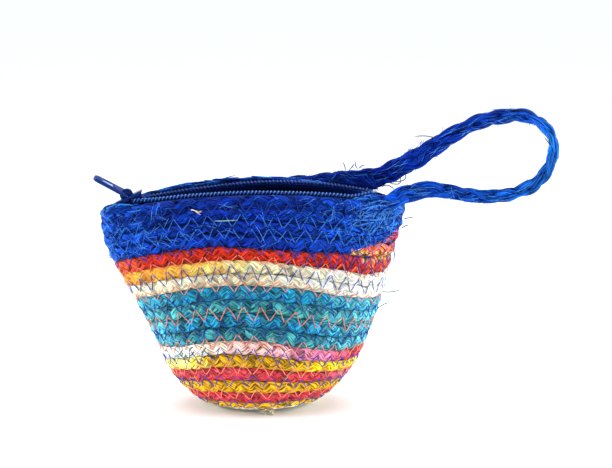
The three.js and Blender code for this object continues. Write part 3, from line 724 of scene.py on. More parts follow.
# loose straw: short ends lying on the plait, hairs standing off it, and the frayed roots of the loop
looseStraw = {
    "sides": 4, "points": 6, "lift": 0.06, "stand": 0.5, "curl": 0.12, "highest": 17.95, "taper": (0.5, 0.3),
    # rows, turns, how many, lengths, radius, spread from the row in degrees, dyes, slot
    "laid": {
        141: ((14.1, 17.9), (0, 1), 460, (2.5, 8.0), (0.07, 0.13), 42,
              ("skyBlue", "iceBlue", "blue", "deepBlue"), "blue_straw"),
        150: ((15.0, 17.8), (0, 1), 420, (3.5, 8.0), (0.12, 0.24), 36,
              ("blue", "inkBlue", "inkBlue", "deepBlue"), "blue_straw"),
        151: ((15.1, 17.8), (0.86, 0.985), 110, (2.5, 6.5), (0.07, 0.16), 60,
              ("skyBlue", "iceBlue", "blue"), "blue_straw"),
        # pale straws crowded at the left end of the blue rows: partly painted side light there
        142: ((14.2, 17.8), (0.49, 0.62), 90, (2.5, 6.5), (0.07, 0.15), 55,
              ("skyBlue", "iceBlue", "blue"), "blue_straw"),
        71: ((7.1, 10.9), (0, 1), 170, (2.0, 5.5), (0.06, 0.1), 40,
             ("sea", "mist", "teal"), "teal_straw"),
        111: ((11.1, 12.9), (0, 1), 90, (2.0, 5.0), (0.06, 0.1), 40,
              ("straw", "tan", "white"), "cream_straw"),
        131: ((13.1, 13.9), (0, 1), 60, (2.0, 5.0), (0.06, 0.1), 40,
              ("flame", "red"), "red_straw"),
        11: ((1.1, 6.9), (0, 1), 160, (2.0, 5.5), (0.06, 0.1), 40,
             ("straw", "rose", "yellow"), "yellow_straw"),
    },
}


def strawTubes(name, paths, outward, radius, tones, finish):
    taper = np.ones(paths.shape[1])
    taper[[0, -1]] = looseStraw["taper"]
    tubePiece(name, paths, np.broadcast_to(outward, paths.shape), np.asarray(radius)[:, None] * taper,
              looseStraw["sides"], finish, np.array([linear(dyes[tone]) for tone in tones]))


def straws(random, name, paths, outward, look, finish=blueStraw):
    radius = random.uniform(*look["radius"], len(paths))
    strawTubes(name, paths, outward, radius, random.choice(look["tones"], len(paths)), finish)


random = np.random.default_rng(5)
t = np.linspace(-0.5, 0.5, looseStraw["points"])
share = t + 0.5
for label, (rows, turns, count, lengths, radii, spread, tones, slotName) in looseStraw["laid"].items():
    level = random.uniform(*rows, count)
    place = random.uniform(*turns, count)
    reach = random.uniform(*lengths, count)
    heading = np.radians(random.normal(0, spread, count))
    curl = random.normal(0, looseStraw["curl"], count) * reach
    paths, normals = [], []
    for k in range(count):
        run, angle = ringAngles(level[k])
        where = np.mod(place[k] * run[-1] + reach[k] * math.cos(heading[k]) * t, run[-1])
        rise = reach[k] * math.sin(heading[k]) * t + curl[k] * (4 * t * t - 0.5)
        rise = np.minimum(level[k] + rise / pouch["rowHeight"], looseStraw["highest"])
        turn = np.interp(where, run, angle)
        paths.append(wallPoint(turn, rise))
        normals.append(wallOut(turn, rise))
    paths, normals = np.array(paths), np.array(normals)
    tip = np.clip(t - 0.1, 0, 1) * 2  # only the last part stands off
    stand = looseStraw["lift"] + random.uniform(0, looseStraw["stand"], (count, 1)) * tip
    seated = tightOver(paths, normals) + normals * stand[..., None]
    finish = blueStraw if slotName == "blue_straw" else brightStraw
    look = {"radius": radii, "tones": tones}
    straws(random, "loose_straw_%d" % label, seated, normals, look, finish)
print("loose straw laid")

# hairs lying on the wrist loop
laidHairs = {"count": 460, "margin": 2, "lengths": (2.0, 7.0), "slide": 0.8, "slant": 0.45, "widest": 0.95,
             "radius": (0.07, 0.14), "tones": ("skyBlue", "iceBlue", "blue", "inkBlue")}
count, margin = laidHairs["count"], laidHairs["margin"]
place = random.uniform(margin, loopLength - margin, (count, 1))
place = np.clip(place + random.uniform(*laidHairs["lengths"], (count, 1)) * t, 0, loopLength)
facing = random.choice([-1, 1], (count, 1, 1))
slide = random.uniform(-laidHairs["slide"], laidHairs["slide"], (count, 1, 1))
slide = slide + random.normal(0, laidHairs["slant"], (count, 1, 1)) * t[None, :, None]
middle, up, out, half = onLoop(place)
normals = out * facing
paths = middle + up * half * np.clip(slide, -laidHairs["widest"], laidHairs["widest"])
seated = tightOver(paths, normals) + normals * looseStraw["lift"]
straws(random, "loop_straw_laid", seated, normals, laidHairs)

# hairs standing off it, more of them where the strap leaves the back rim
standingHairs = {"count": 190, "atRim": 50, "rimPlace": (48, 62), "wide": 0.9, "thick": 1.2,
                 "steep": (0.2, 1.0), "bend": 0.35, "curve": 0.12, "lengths": (1.2, 4.2),
                 "radius": (0.05, 0.09), "tones": ("skyBlue", "blue", "deepBlue", "blue")}
count, atRim = standingHairs["count"], standingHairs["atRim"]
place = random.uniform(0, loopLength, count)
place[:atRim] = random.uniform(*standingHairs["rimPlace"], atRim)
angle = random.uniform(0, fullTurn, (count, 1))
middle, up, out, half = onLoop(place)
across, through = up * np.cos(angle), out * np.sin(angle)
start = middle + across * half * standingHairs["wide"] + through * standingHairs["thick"]
heading = (across + through) * random.uniform(*standingHairs["steep"], (count, 1))
heading = unit(heading + readAt(place, loopRun, loopAlong) * random.choice([-1, 1], (count, 1)))
bend = random.normal(0, standingHairs["bend"], (count, 3)) * standingHairs["curve"]
grow = share[None, :, None] * random.uniform(*standingHairs["lengths"], (count, 1, 1))
paths = start[:, None] + heading[:, None] * grow + bend[:, None] * grow**2
straws(random, "loop_straw_hairs", paths, (across + through)[:, None], standingHairs)

# front root: the loop's ends opened out and sewn down over the corner
rimReach = {"front": 54.6, "back": 54.8, "end": 0.999}  # mm from the middle to the right end, largest cosine
rootFan = {"count": 55, "from": (44, 53.5), "fromLevel": (17.0, 18.0), "to": (34, 54.2),
           "toLevel": (15.3, 17.9), "fall": 0.2, "bow": 0.42, "lift": 0.12, "radius": (0.1, 0.28),
           "tones": ("skyBlue", "iceBlue", "iceBlue", "blue", "deepBlue")}


def onFront(x):
    return fullTurn - np.arccos(np.clip(x / rimReach["front"], -1, rimReach["end"]))


def between(near, far):
    return near[:, None] + (far - near)[:, None] * share[:, None]


count = rootFan["count"]
first = onFront(random.uniform(*rootFan["from"], count))[:, None]
final = onFront(random.uniform(*rootFan["to"], count))[:, None]
top = random.uniform(*rootFan["fromLevel"], count)[:, None]
foot = np.minimum(top - rootFan["fall"], random.uniform(*rootFan["toLevel"], count)[:, None])
turn = first + (final - first) * share
rise = top + (foot - top) * share + random.normal(0, rootFan["bow"], (count, 1)) * bow(share)
normals = wallOut(turn, rise)
seated = tightOver(wallPoint(turn, rise), normals) + normals * rootFan["lift"]
straws(random, "loop_root_front", seated, normals, rootFan)

# corner of the mouth beyond the zip, closed with straw from rim to rim
cornerClose = {"count": 80, "from": (43.5, 54), "slant": 4, "frontLevel": 17.9, "backLevel": 17.8,
               "least": 0.7, "bow": 1.2, "radius": (0.2, 0.45), "tones": ("blue", "deepBlue", "skyBlue")}
count = cornerClose["count"]
x = random.uniform(*cornerClose["from"], count)
backX = (x + random.normal(0, cornerClose["slant"], count)) / rimReach["back"]
onBack = np.arccos(np.clip(backX, cornerClose["least"], rimReach["end"]))
paths = between(wallPoint(onFront(x), cornerClose["frontLevel"]), wallPoint(onBack, cornerClose["backLevel"]))
paths[..., 2] += random.uniform(0.0, cornerClose["bow"], (count, 1)) * bow(share)
straws(random, "mouth_corner_straw", paths, (0, 0, 1), cornerClose)

# lip of straw drawn up to the zip: middle and half span in degrees, how many, highest level
rimLip = {"ends": ((-37, 14, 50, 18.5), (-20, 12, 40, 18.4), (203, 20, 46, 18.3), (98, 50, 300, 18.06)),
          "foot": 17.7, "reach": (0.08, 0.2), "fade": 1.2, "slant": 0.06, "off": (-0.7, 0.3),
          "radius": (0.2, 0.42), "tones": ("skyBlue", "blue")}
# the lip straws are partly skyBlue, lighter than the rim below: painted light on the top of the rim
paths, normals = [], []
for middle, span, count, high in rimLip["ends"]:
    middle, span = math.radians(middle), math.radians(span)
    where = middle + random.uniform(-span, span, (count, 1))
    where = where + random.uniform(*rimLip["reach"], (count, 1)) * t
    fall = 1 - np.minimum(1, np.abs(where - middle) / (span * rimLip["fade"])) ** 2
    rise = rimLip["foot"] + (high - rimLip["foot"]) * random.uniform(0, 1, (count, 1)) * fall
    rise = rise + random.normal(0, rimLip["slant"], (count, 1)) * t * 2
    normals.append(wallOut(where, rise))
    paths.append(wallPoint(where, rise) + normals[-1] * random.uniform(*rimLip["off"], (count, 1, 1)))
straws(random, "rim_lip_straw", np.concatenate(paths), np.concatenate(normals), rimLip)

# back root of the loop, spread down onto the rim
backRoot = {"count": 150, "x": (4, 44), "crowd": 0.6, "across": (0.1, 0.9), "reach": (3, 8), "most": 0.8,
            "ragged": 0.04, "level": (17.6, 18.2), "radius": (0.18, 0.38),
            "tones": ("blue", "deepBlue", "deepBlue")}
count = backRoot["count"]
x = backRoot["x"][0] + np.diff(backRoot["x"]) * random.uniform(0, 1, count) ** backRoot["crowd"]
arm = wristLoop["backSpans"] * wristLoop["perSpan"]
middle, up, out, half = onLoop(np.interp(x, loopRoute[:arm, 0], loopRun[:arm]))
near = middle - up * half * random.uniform(*backRoot["across"], (count, 1))
backX = (x + random.uniform(*backRoot["reach"], count)) / rimReach["back"]
onBack = np.arccos(np.clip(backX, -1, backRoot["most"] + backRoot["ragged"] * random.uniform(0, 1, count)))
paths = between(near, wallPoint(onBack, random.uniform(*backRoot["level"], count)))
straws(random, "loop_root_back", paths, (0, -0.3, 1), backRoot)

# pale bar tack over the end of the zip
barTack = {"count": 6, "x": (43.3, 44.7), "z": 82.3, "half": 1.4, "drop": 0.9, "ragged": (0.12, 0.15),
           "radius": 0.15, "sides": 5, "colour": (226, 230, 238)}
raggedX, raggedY = (random.normal(0, ragged, (barTack["count"], 1)) for ragged in barTack["ragged"])
x = np.linspace(*barTack["x"], barTack["count"])[:, None] + raggedX
y = barTack["half"] * 2 * t + raggedY
paths = np.stack(np.broadcast_arrays(x, y, barTack["z"] - barTack["drop"] * (2 * t) ** 2), -1)
tubePiece("zip_bar_tack", paths, np.broadcast_to([0, 0, 1], paths.shape), barTack["radius"], barTack["sides"],
          threadFinish("paleThread", barTack["colour"]))

# single hairs seen against the light: start, end, bow, dye
strayRadius = 0.2
strayHairs = (
    ((46.2, -1.5, 43.2), (54.0, -3.0, 44.2), (0, 0, -0.6), "slate"),
    ((48.6, -1, 63), (50.5, -4, 55), (1.6, 0, 0), "slate"),
    ((44.2, -4, 36.4), (49.4, -5, 39.6), (0, 0, 0.5), "teal"),
    ((54.6, -2, 71.2), (58.6, -3, 71.8), (0, 0, 0.3), "blue"),
    ((53.6, -4, 68.0), (56.4, -6, 69.6), (0, 0, 0.2), "blue"),
    ((33.0, 12, 88.2), (32.0, 12, 91.6), (0.4, 0, 0), "deepBlue"),
    ((34.6, 12, 88.4), (36.4, 11, 91.0), (0.3, 0, 0.2), "deepBlue"),
    ((37.8, 11, 89.0), (37.0, 10, 92.0), (-0.5, 0, 0), "blue"),
    ((38.2, 11, 89.0), (40.6, 10, 90.6), (0, 0, 0.5), "skyBlue"),
    ((68.5, 5, 101.0), (58.8, 3, 102.2), (0, 0, 0.8), "grey"),
    ((53.6, 6, 87.6), (48.6, 4, 84.8), (2.4, 0, -2.2), "slate"),
    ((55.4, 6, 88.6), (50.4, 4, 84.8), (2.6, 0, -1.2), "slate"),
    ((46.4, 2, 83.0), (51.6, 1, 81.8), (0, 0, 1.4), "slate"),
    ((110.6, -1, 99.0), (108.0, -2, 102.4), (0, 0, 0), "grey"),
    ((-17.0, -14.6, 72.6), (-8.2, -15.0, 73.0), (0, -0.5, 0), "mist"),
    ((-25.8, -12.2, 76.6), (-22.6, -12.9, 75.6), (0, -0.6, 0.2), "white"),
    ((-24.2, -12.6, 76.2), (-22.2, -13.2, 74.8), (0, -0.6, 0), "cream"),
    ((-23.8, -12.8, 75.6), (-21.8, -12.9, 76.2), (0, -0.5, 0), "straw"),
)
*ends, tones = zip(*strayHairs)
first, final, belly = (np.array(points, float) for points in ends)
paths = between(first, final) + belly[:, None] * bow(share)[:, None]
strawTubes("stray_hairs", paths, (0.1, -1, 0.2), np.full(len(paths), strayRadius), tones,
           brightStraw)

# pale tuft of cut ends where the base coil was started
baseTuft = {"count": 40, "from": (2.6, -19.6, 1.5), "spread": (0.9, 0.4, 0.25), "sideways": 0.6,
            "rise": (-0.5, 0.1), "length": (2.4, 4.4), "lowest": 0.2, "radius": (0.14, 0.24),
            "tones": ("cream", "white", "natural")}
count = baseTuft["count"]
start = np.array(baseTuft["from"]) + random.normal(0, 1, (count, 3)) * baseTuft["spread"]
sideways = random.normal(0, baseTuft["sideways"], count)
heading = unit(np.stack([sideways, np.full(count, -1.0), random.uniform(*baseTuft["rise"], count)], -1))
length = share * random.uniform(*baseTuft["length"], (count, 1))
paths = start[:, None] + heading[:, None] * length[..., None]
paths[..., 2] = np.maximum(paths[..., 2], baseTuft["lowest"])
straws(random, "base_tuft", paths, (0, 0, 1), baseTuft, paleStraw)
print("loop roots frayed")


# zip: where each side's coil rides over the rim
zipSeat = {"front": (1.55, 1.55, 0), "back": (-1.2, 0.5, 1.0),  # rise at the left and right, dip
           "inset": {"front": 2.1, "back": 2.6}, "dipAt": -0.35, "dipWidth": 0.35}  # cosines along the mouth
zipTape = {"rows": 1.25, "inset": 1.62, "thick": 0.55, "under": 1.0, "left": 42, "right": 30, "columns": 60,
           "lines": 8, "columnRun": 1.7, "colour": (16, 52, 150), "shadow": (12, 12, 48),
           "shadeBelow": (4.2, 5.2), "weave": (0.55, 0.3), "shade": (0.6, 1.25), "bump": (0.6, 0.00015),
           "roughness": 0.8, "specular": 0.1}


def coilRise(side, angle):
    left, right, dip = zipSeat[side]
    place = np.cos(angle)
    sunk = dip * np.exp(-((place - zipSeat["dipAt"]) / zipSeat["dipWidth"]) ** 2)
    return left + (right - left) * (place + 1) / 2 - sunk


def mouthAngles(side, ends, count):
    right, left = math.radians(ends["right"]), math.radians(ends["left"])
    if side == "front":
        return np.linspace(math.pi + left, fullTurn - right, count)
    return np.linspace(right, math.pi - left, count)


def wovenFinish(name, look):
    material, tree = startFinish(name)
    uv = addNode(tree, "UVMap", uv_map="fibre").outputs[0]
    cloth = addNode(tree, "Math", operation="MULTIPLY")
    for k, direction in enumerate(("X", "Y")):
        feed(tree, cloth.inputs[k], addWave(tree, uv, direction, *look["weave"]))
    upTape = addNode(tree, "SeparateXYZ", Vector=uv).outputs[1]
    litShare = mapRange(tree, upTape, *look["shadeBelow"], 0, 1)  # the lower part of the tape is painted dark: painted shade inside the mouth
    tone = blendColour(tree, "MIX", litShare, (*linear(look["shadow"]), 1), (*linear(look["colour"]), 1))
    shade = mapRange(tree, cloth.outputs[0], 0, 1, *look["shade"])
    tone = blendColour(tree, "MULTIPLY", 1.0, tone, shade)
    return dress(material, tone, look["roughness"], look, cloth.outputs[0])


tapeCloth = wovenFinish("wovenTape", zipTape)
upTape = np.linspace(0, 1, zipTape["lines"])
for side in ("front", "back"):
    angles = mouthAngles(side, zipTape, zipTape["columns"])
    high = pouch["rim"] + (coilRise(side, angles) - zipTape["under"]) / pouch["rowHeight"]
    level = (high - zipTape["rows"])[:, None] + zipTape["rows"] * upTape
    wall, out = wallPoint(angles[:, None], level), wallOut(angles[:, None], level)
    outer = wall - out * zipTape["inset"]
    inner = wall - out * (zipTape["inset"] + zipTape["thick"])
    sections = np.concatenate([outer, inner[:, ::-1]], 1)  # one closed section per column
    rings, sides = sections.shape[:2]
    faces, corner = (part[:, ::-1] for part in gridFaces(1, rings, sides, False))
    lineHeight = np.concatenate([upTape, upTape[::-1], upTape[:1]]) * zipTape["rows"] * pouch["rowHeight"]
    uv = np.stack([corner[..., 0] * zipTape["columnRun"], lineHeight[corner[..., 1]]], -1)
    caps = [cap[::-1] for cap in endCaps(1, rings, sides)]
    finishMesh("woven_tape_" + side, sections.reshape(-1, 3), faces, uv, None, tapeCloth,
               ["zip_tape_" + side], caps)
print("tape woven")


# slider and its frame, mm, X towards the open zip and Z up from the top plate
slider = {
    "place": (-50, 0, 80.2), "tilt": 26, "length": 11, "wide": 3.4, "narrow": 2.4, "corner": 1.1,
    "plate": 0.9, "channel": 2.4,
    "flangeWidth": 0.6, "flangeDrop": 0.65, "flangeFrom": -4.3, "flangeTo": -0.2,
    "post": (3.2, 1.8, 0.75), "postRound": 0.6, "postSunk": 0.3, "overlap": 0.2,
    "bailX": -0.4, "bailHalf": 2.5, "bailLeg": 2.3, "bailHeight": 3.1, "bailWidth": 1.6, "bailArch": 1.9,
    "edge": 0.18, "colour": (4, 42, 116),
}
sliderFrame = Matrix.Translation(Vector(slider["place"]) * mm)
sliderFrame = sliderFrame @ Matrix.Rotation(-math.radians(slider["tilt"]), 4, "Y")

# coil: a nylon wire wound along each side, with a head on every turn
coil = {
    "pitch": 1.4, "tall": 0.62, "deep": 0.62, "wire": 0.18, "head": 0.1, "headSharp": 6, "wireSides": 6,
    # the core cord is painted darker than the teeth: painted shade in the gaps between them
    "core": 0.5, "coreSides": 8, "coreColour": (10, 40, 120), "turnSteps": 16,
    "left": 49, "right": 50, "stations": 9, "perSpan": 40, "enter": (0.6, 2.1), "meet": (43, 1.25, 81.4),
    # the back coil is painted darker than the front: painted shade inside the mouth
    "colours": {"front": (56, 130, 224), "back": (26, 76, 168)},
}


def coilRoute(side, facing):
    enterX, enterY = coil["enter"]
    middle = -slider["plate"] - slider["channel"] / 2
    mouth = sliderFrame @ (Vector((enterX, facing * enterY, middle)) * mm) / mm
    angles, rim = mouthAngles(side, coil, coil["stations"]), pouch["rim"]
    up = unit(wallPoint(angles, rim) - wallPoint(angles, rim - 0.01))
    ride = wallPoint(angles, rim) + up * coilRise(side, angles)[:, None]
    ride = ride - wallOut(angles, rim) * zipSeat["inset"][side]
    if side == "back":
        ride = ride[::-1]
    x, y, z = coil["meet"]
    return smoothRoute(np.vstack([np.array(mouth)[None], ride, [[x, facing * y, z]]]), coil["perSpan"])


for side, facing in (("front", -1), ("back", 1)):
    route = coilRoute(side, facing)
    run = runAlong(route)
    place = np.linspace(0, run[-1], int(run[-1] / coil["pitch"]) * coil["turnSteps"])
    middle = readAt(place, run, route)
    along = unit(readAt(place, run, np.gradient(route, axis=0)))
    up = unit(np.cross(along, np.cross([0.0, 0.0, 1.0], along)))
    out = np.cross(along, up)
    spin = (fullTurn * place / coil["pitch"] * facing)[:, None]
    wire = middle + up * coil["tall"] * np.cos(spin) + out * coil["deep"] * np.sin(spin)
    outward = up * np.cos(spin) + out * np.sin(spin)
    radius = coil["wire"] + coil["head"] * np.maximum(0, np.cos(spin[:, 0])) ** coil["headSharp"]
    nylon = speckFinish(side + "Nylon", linear(coil["colours"][side]), nylonLook)
    tubePiece("coil_teeth_" + side, wire[None], outward[None], radius[None], coil["wireSides"], nylon,
              nodes=["zip_coil_" + side])
    half = coil["turnSteps"] // 2
    tubePiece("coil_cord_" + side, middle[None, ::half], up[None, ::half], coil["core"], coil["coreSides"],
              threadFinish("coilCord", coil["coreColour"]))
print("coil wound")


# modelling helpers for the slider and the pull
def mode(kind):
    bpy.ops.object.mode_set(mode=kind)


def choose(*pieces):
    if bpy.context.object and bpy.context.object.mode == "EDIT":
        mode("OBJECT")
    bpy.ops.object.select_all(action="DESELECT")
    for piece in pieces:
        piece.select_set(True)
    if pieces:
        bpy.context.view_layer.objects.active = pieces[0]


def addBlock(name, centre, size):
    choose()
    bpy.ops.mesh.primitive_cube_add(size=1, location=(0, 0, 0))
    block = bpy.context.object
    block.name = name
    mode("EDIT")
    bpy.ops.transform.resize(value=Vector(size) * mm)
    bpy.ops.transform.translate(value=Vector(centre) * mm)
    mode("OBJECT")
    return block


def pick(piece, kind, test):  # selects faces, edges or points by their place, in edit mode
    mode("EDIT")
    bpy.ops.mesh.select_all(action="DESELECT")
    bpy.ops.mesh.select_mode(type=kind)
    mode("OBJECT")
    mesh = piece.data
    if kind == "VERT":
        for v in mesh.vertices:
            v.select = test(v.co / mm)
    elif kind == "EDGE":
        for e in mesh.edges:
            e.select = test(*(mesh.vertices[i].co / mm for i in e.vertices))
    else:
        for p in mesh.polygons:
            p.select = test(p.center / mm, p.normal)
    mode("EDIT")


def bevelEdges(piece, width, segments, test):
    pick(piece, "EDGE", test)
    bpy.ops.mesh.bevel(offset=width * mm, segments=segments, affect="EDGES")


def softEdges(piece, width):
    choose(piece)
    bevel = piece.modifiers.new("softEdges", "BEVEL")
    bevel.width = width * mm
    bevel.segments = 2
    bevel.limit_method = "ANGLE"
    bevel.angle_limit = math.radians(35)
    bpy.ops.object.modifier_apply(modifier=bevel.name)
    bpy.ops.object.shade_smooth_by_angle(angle=math.radians(40))


sliderPaint = speckFinish("sliderPaint", linear(slider["colour"]), paintLook)


def placeSolid(piece, matrix, body, nodes):
    choose(piece)
    piece.matrix_world = matrix
    bpy.ops.object.transform_apply(location=True, rotation=True, scale=True)
    if not piece.data.materials:
        piece.data.materials.append(sliderPaint)
    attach(piece, body)
    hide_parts(*nodes)


def sliderPlate(name, low):
    length, wide, thick = slider["length"], slider["wide"], slider["plate"]
    plate = addBlock(name, (0, 0, low + thick / 2), (length, 2 * wide, thick))
    pick(plate, "VERT", lambda co: co.x < 0)
    bpy.ops.transform.resize(value=(1, slider["narrow"] / wide, 1))
    bevelEdges(plate, slider["corner"], 5, lambda a, b: abs(a.z - b.z) > thick / 2)
    mode("OBJECT")
    return plate


underside = -2 * slider["plate"] - slider["channel"]
parts = [sliderPlate("slider", -slider["plate"]), sliderPlate("sliderUnder", underside)]

# turned-in edges, slanted with the plates
slant = (slider["wide"] - slider["narrow"]) / slider["length"]
drop = slider["flangeDrop"] + slider["overlap"]
topLevel = -slider["plate"] - slider["flangeDrop"] + drop / 2
underLevel = underside + slider["plate"] - slider["overlap"] + drop / 2
reach = slider["flangeTo"] - slider["flangeFrom"]
middleX = (slider["flangeFrom"] + slider["flangeTo"]) / 2
middleY = (slider["wide"] + slider["narrow"]) / 2 + slant * middleX - slider["flangeWidth"] / 2
for facing in (-1, 1):
    for level in (topLevel, underLevel):
        lip = addBlock("sliderLip", (middleX, facing * middleY, level), (reach, slider["flangeWidth"], drop))
        shift = facing * slant * reach / 2 * mm
        pick(lip, "VERT", lambda co: co.x > middleX)
        bpy.ops.transform.translate(value=(0, shift, 0))
        pick(lip, "VERT", lambda co: co.x < middleX)
        bpy.ops.transform.translate(value=(0, -shift, 0))
        mode("OBJECT")
        parts.append(lip)
postX, postHalf, postWide = slider["post"]
post = addBlock("sliderPost", (postX, 0, -slider["plate"] - slider["channel"] / 2),
                (2 * postHalf, 2 * postWide, slider["channel"] + slider["postSunk"]))
bevelEdges(post, slider["postRound"], 3, lambda a, b: abs(a.z - b.z) > 1)
mode("OBJECT")
parts.append(post)

# bail: a flat leg spun over into an arch
choose()
half, leg = slider["bailHalf"], slider["bailLeg"]
straight = slider["bailHeight"] - slider["bailArch"]
spring = straight - slider["overlap"]  # height at which the arch begins
bpy.ops.mesh.primitive_plane_add(size=1, location=(0, 0, 0))
bail = bpy.context.object
bail.name = "sliderBail"
mode("EDIT")
bpy.ops.transform.resize(value=(leg * mm, slider["bailWidth"] * mm, 1))
bpy.ops.transform.translate(value=((slider["bailX"] + half - leg / 2) * mm, 0, -slider["overlap"] * mm))
bpy.ops.mesh.select_all(action="SELECT")
bpy.ops.mesh.extrude_region_move(TRANSFORM_OT_translate={"value": (0, 0, straight * mm)})
bpy.ops.mesh.spin(steps=10, angle=math.pi, center=(slider["bailX"] * mm, 0, spring * mm), axis=(0, 1, 0))
bpy.ops.mesh.extrude_region_move(TRANSFORM_OT_translate={"value": (0, 0, -straight * mm)})
pick(bail, "VERT", lambda co: co.z > spring + 0.01)
squash = (slider["bailHeight"] - spring) / half
bpy.ops.transform.resize(value=(1, 1, squash), center_override=(0, 0, spring * mm))
bpy.ops.mesh.select_all(action="SELECT")
bpy.ops.mesh.remove_doubles(threshold=0.00002)
bpy.ops.mesh.normals_make_consistent(inside=False)
mode("OBJECT")
parts.append(bail)
for part in parts:
    softEdges(part, slider["edge"])
choose(*parts)
bpy.ops.object.join()
sliderPiece = bpy.context.object
sliderPiece.name = "zip_slider_body"
placeSolid(sliderPiece, sliderFrame, "purse", ["zip_slider"])
print("slider made")


# pull: a flat tab with an eye round the bail and a sunk panel on each face
pull = {"length": 13.7, "half": 2.4, "tip": 2.0, "tipRound": 1.9, "thick": 1.3, "bar": 0.8, "barRound": 0.5,
        "eye": 4.75, "eyeMiddle": (1, 3.5), "border": 0.95, "sink": 0.35, "panelReflection": (150, 168, 226),
        "panelTo": 10.9, "panelMiddle": (7, 9.5), "edge": 0.16, "bailWindow": 2.2, "lift": 28.4, "roll": 12}
tab = addBlock("zip_pull_tab", ((pull["length"] - pull["bar"]) / 2, 0, 0),
               (pull["length"] + pull["bar"], 2 * pull["half"], pull["thick"]))
pick(tab, "VERT", lambda co: co.x > pull["eye"])
bpy.ops.transform.resize(value=(1, pull["tip"] / pull["half"], 1))
bevelEdges(tab, pull["tipRound"], 7, lambda a, b: abs(a.z - b.z) > 1 and a.x > pull["eye"])
bevelEdges(tab, pull["barRound"], 3, lambda a, b: abs(a.z - b.z) > 1 and a.x < 0 and b.x < 0)
for cut in (pull["eye"], pull["panelTo"]):
    bpy.ops.mesh.select_all(action="SELECT")
    bpy.ops.mesh.bisect(plane_co=(cut * mm, 0, 0), plane_no=(1, 0, 0))
pick(tab, "FACE", lambda co, normal: abs(normal.z) > 0.9)
bpy.ops.mesh.inset(thickness=pull["border"] * mm, use_individual=True)


def inMiddle(co, span):
    return span[0] < co.x < span[1] and abs(co.y) < 0.2


pick(tab, "FACE", lambda co, normal: abs(normal.z) > 0.9 and inMiddle(co, pull["eyeMiddle"]))
bpy.ops.mesh.bridge_edge_loops()
tab.data.materials.append(sliderPaint)
tab.data.materials.append(speckFinish("panelReflectionPaint", linear(pull["panelReflection"]), paintLook))
tab.active_material_index = 1  # pale paint in the panels: painted reflection
for facing in (-1, 1):
    pick(tab, "FACE", lambda co, normal: normal.z * facing > 0.9 and inMiddle(co, pull["panelMiddle"]))
    bpy.ops.object.material_slot_assign()
    bpy.ops.mesh.extrude_region_move(TRANSFORM_OT_translate={"value": (0, 0, -facing * pull["sink"] * mm)})
bpy.ops.mesh.select_all(action="SELECT")
bpy.ops.mesh.normals_make_consistent(inside=False)
mode("OBJECT")
softEdges(tab, pull["edge"])
hinge = sliderFrame @ (Vector((slider["bailX"], 0, pull["bailWindow"] / 2)) * mm)
pullFrame = Matrix.Translation(hinge) @ Matrix.Rotation(math.pi + math.radians(pull["lift"]), 4, "Y")
pullFrame = pullFrame @ Matrix.Rotation(-math.radians(pull["roll"]), 4, "X")  # hangs a little askew
placeSolid(tab, pullFrame, "pull", ["zip_pull"])
print("pull made")


# plain pale floor, soft light from the sides and above
studio = {
    "floorSize": 14, "floorPlace": (0, 4, 0), "floorTone": (0.885, 0.935, 0.945),
    "world": 0.85, "frontShare": 0.2, "frontTo": (-0.7, 0.5),
    "sunStrength": 1.75, "sunAngle": 70, "sunLean": -12,
    "sideWatts": 8.5, "sideSize": 0.7, "sidePlace": (0.75, 0.05, 0.35), "sideAim": (0, 0, 0.05),
    "lowWatts": 0.024, "lowSize": (0.3, 0.02), "lowPlace": (0, -0.45, 0.015), "lowAim": (0, 0, 0.0),
    "lowSpread": 9,
}
choose()
bpy.ops.mesh.primitive_plane_add(size=studio["floorSize"], location=studio["floorPlace"])
floor = bpy.context.object
floor.name = "floor"
floor.data.materials.append(speckFinish("paleFloor", studio["floorTone"], floorLook))

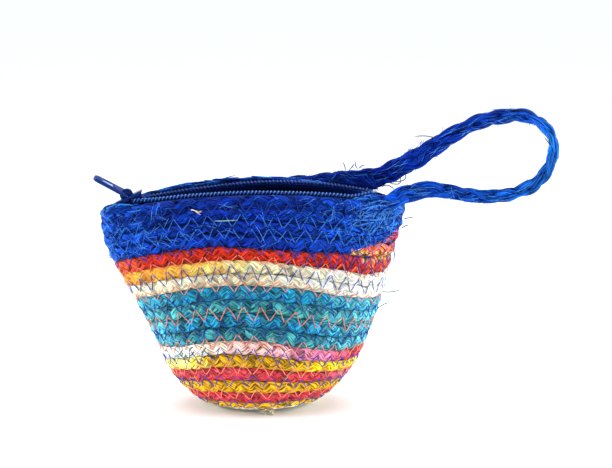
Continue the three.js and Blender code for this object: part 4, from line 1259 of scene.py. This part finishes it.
world = bpy.data.worlds.new("paleRoom")
scene.world = world
world.use_nodes = True
sky = world.node_tree
apart = addNode(sky, "SeparateXYZ", Vector=addNode(sky, "TexCoord").outputs["Generated"])
dimmest = studio["frontShare"] * studio["world"]
dim = mapRange(sky, apart.outputs[1], *studio["frontTo"], dimmest, studio["world"])
for k, value in enumerate(((1, 1, 1, 1), dim)):  # colour, strength
    feed(sky, sky.nodes["Background"].inputs[k], value)


def aimed(place, target):
    turned = (Vector(target) - Vector(place)).to_track_quat("-Z", "Y").to_euler()
    return {"location": place, "rotation": turned}


bpy.ops.object.light_add(type="SUN", location=(0, 0, 1), rotation=(math.radians(studio["sunLean"]), 0, 0))
sun = bpy.context.object.data
sun.energy = studio["sunStrength"]
sun.angle = math.radians(studio["sunAngle"])
for facing in (-1, 1):
    x, y, z = studio["sidePlace"]
    bpy.ops.object.light_add(type="AREA", **aimed((facing * x, y, z), studio["sideAim"]))
    bpy.context.object.data.energy = studio["sideWatts"]
    bpy.context.object.data.size = studio["sideSize"]
bpy.ops.object.light_add(type="AREA", **aimed(studio["lowPlace"], studio["lowAim"]))
lowLight = bpy.context.object.data  # lifts the shade under the front
lowLight.shape = "RECTANGLE"
lowLight.size, lowLight.size_y = studio["lowSize"]
lowLight.energy = studio["lowWatts"]
lowLight.spread = math.radians(studio["lowSpread"])
scene.view_settings.view_transform = "Standard"
print("studio lit")


# camera at the photograph's angle, level, a little above the purse
view = {"target": (0, 0, 0.038), "distance": 0.7, "elevation": 11, "focal": 1820, "imageWidth": 612,
        "sensor": 36, "right": 46, "up": 70.3}  # pixels from the target to the middle of the image
tilt = math.radians(view["elevation"])
target = Vector(view["target"])
back = Vector((0, -math.cos(tilt), math.sin(tilt)))
pixel = view["distance"] / view["focal"]
aim = target + Vector((1, 0, 0)) * view["right"] * pixel
aim = aim + Vector((0, math.sin(tilt), math.cos(tilt))) * view["up"] * pixel
bpy.ops.object.camera_add(**aimed(target + back * view["distance"], aim))
camera = bpy.context.object
camera.data.sensor_width = view["sensor"]
camera.data.lens = view["focal"] * view["sensor"] / view["imageWidth"]
camera.data.clip_start = 0.01
scene.camera = camera
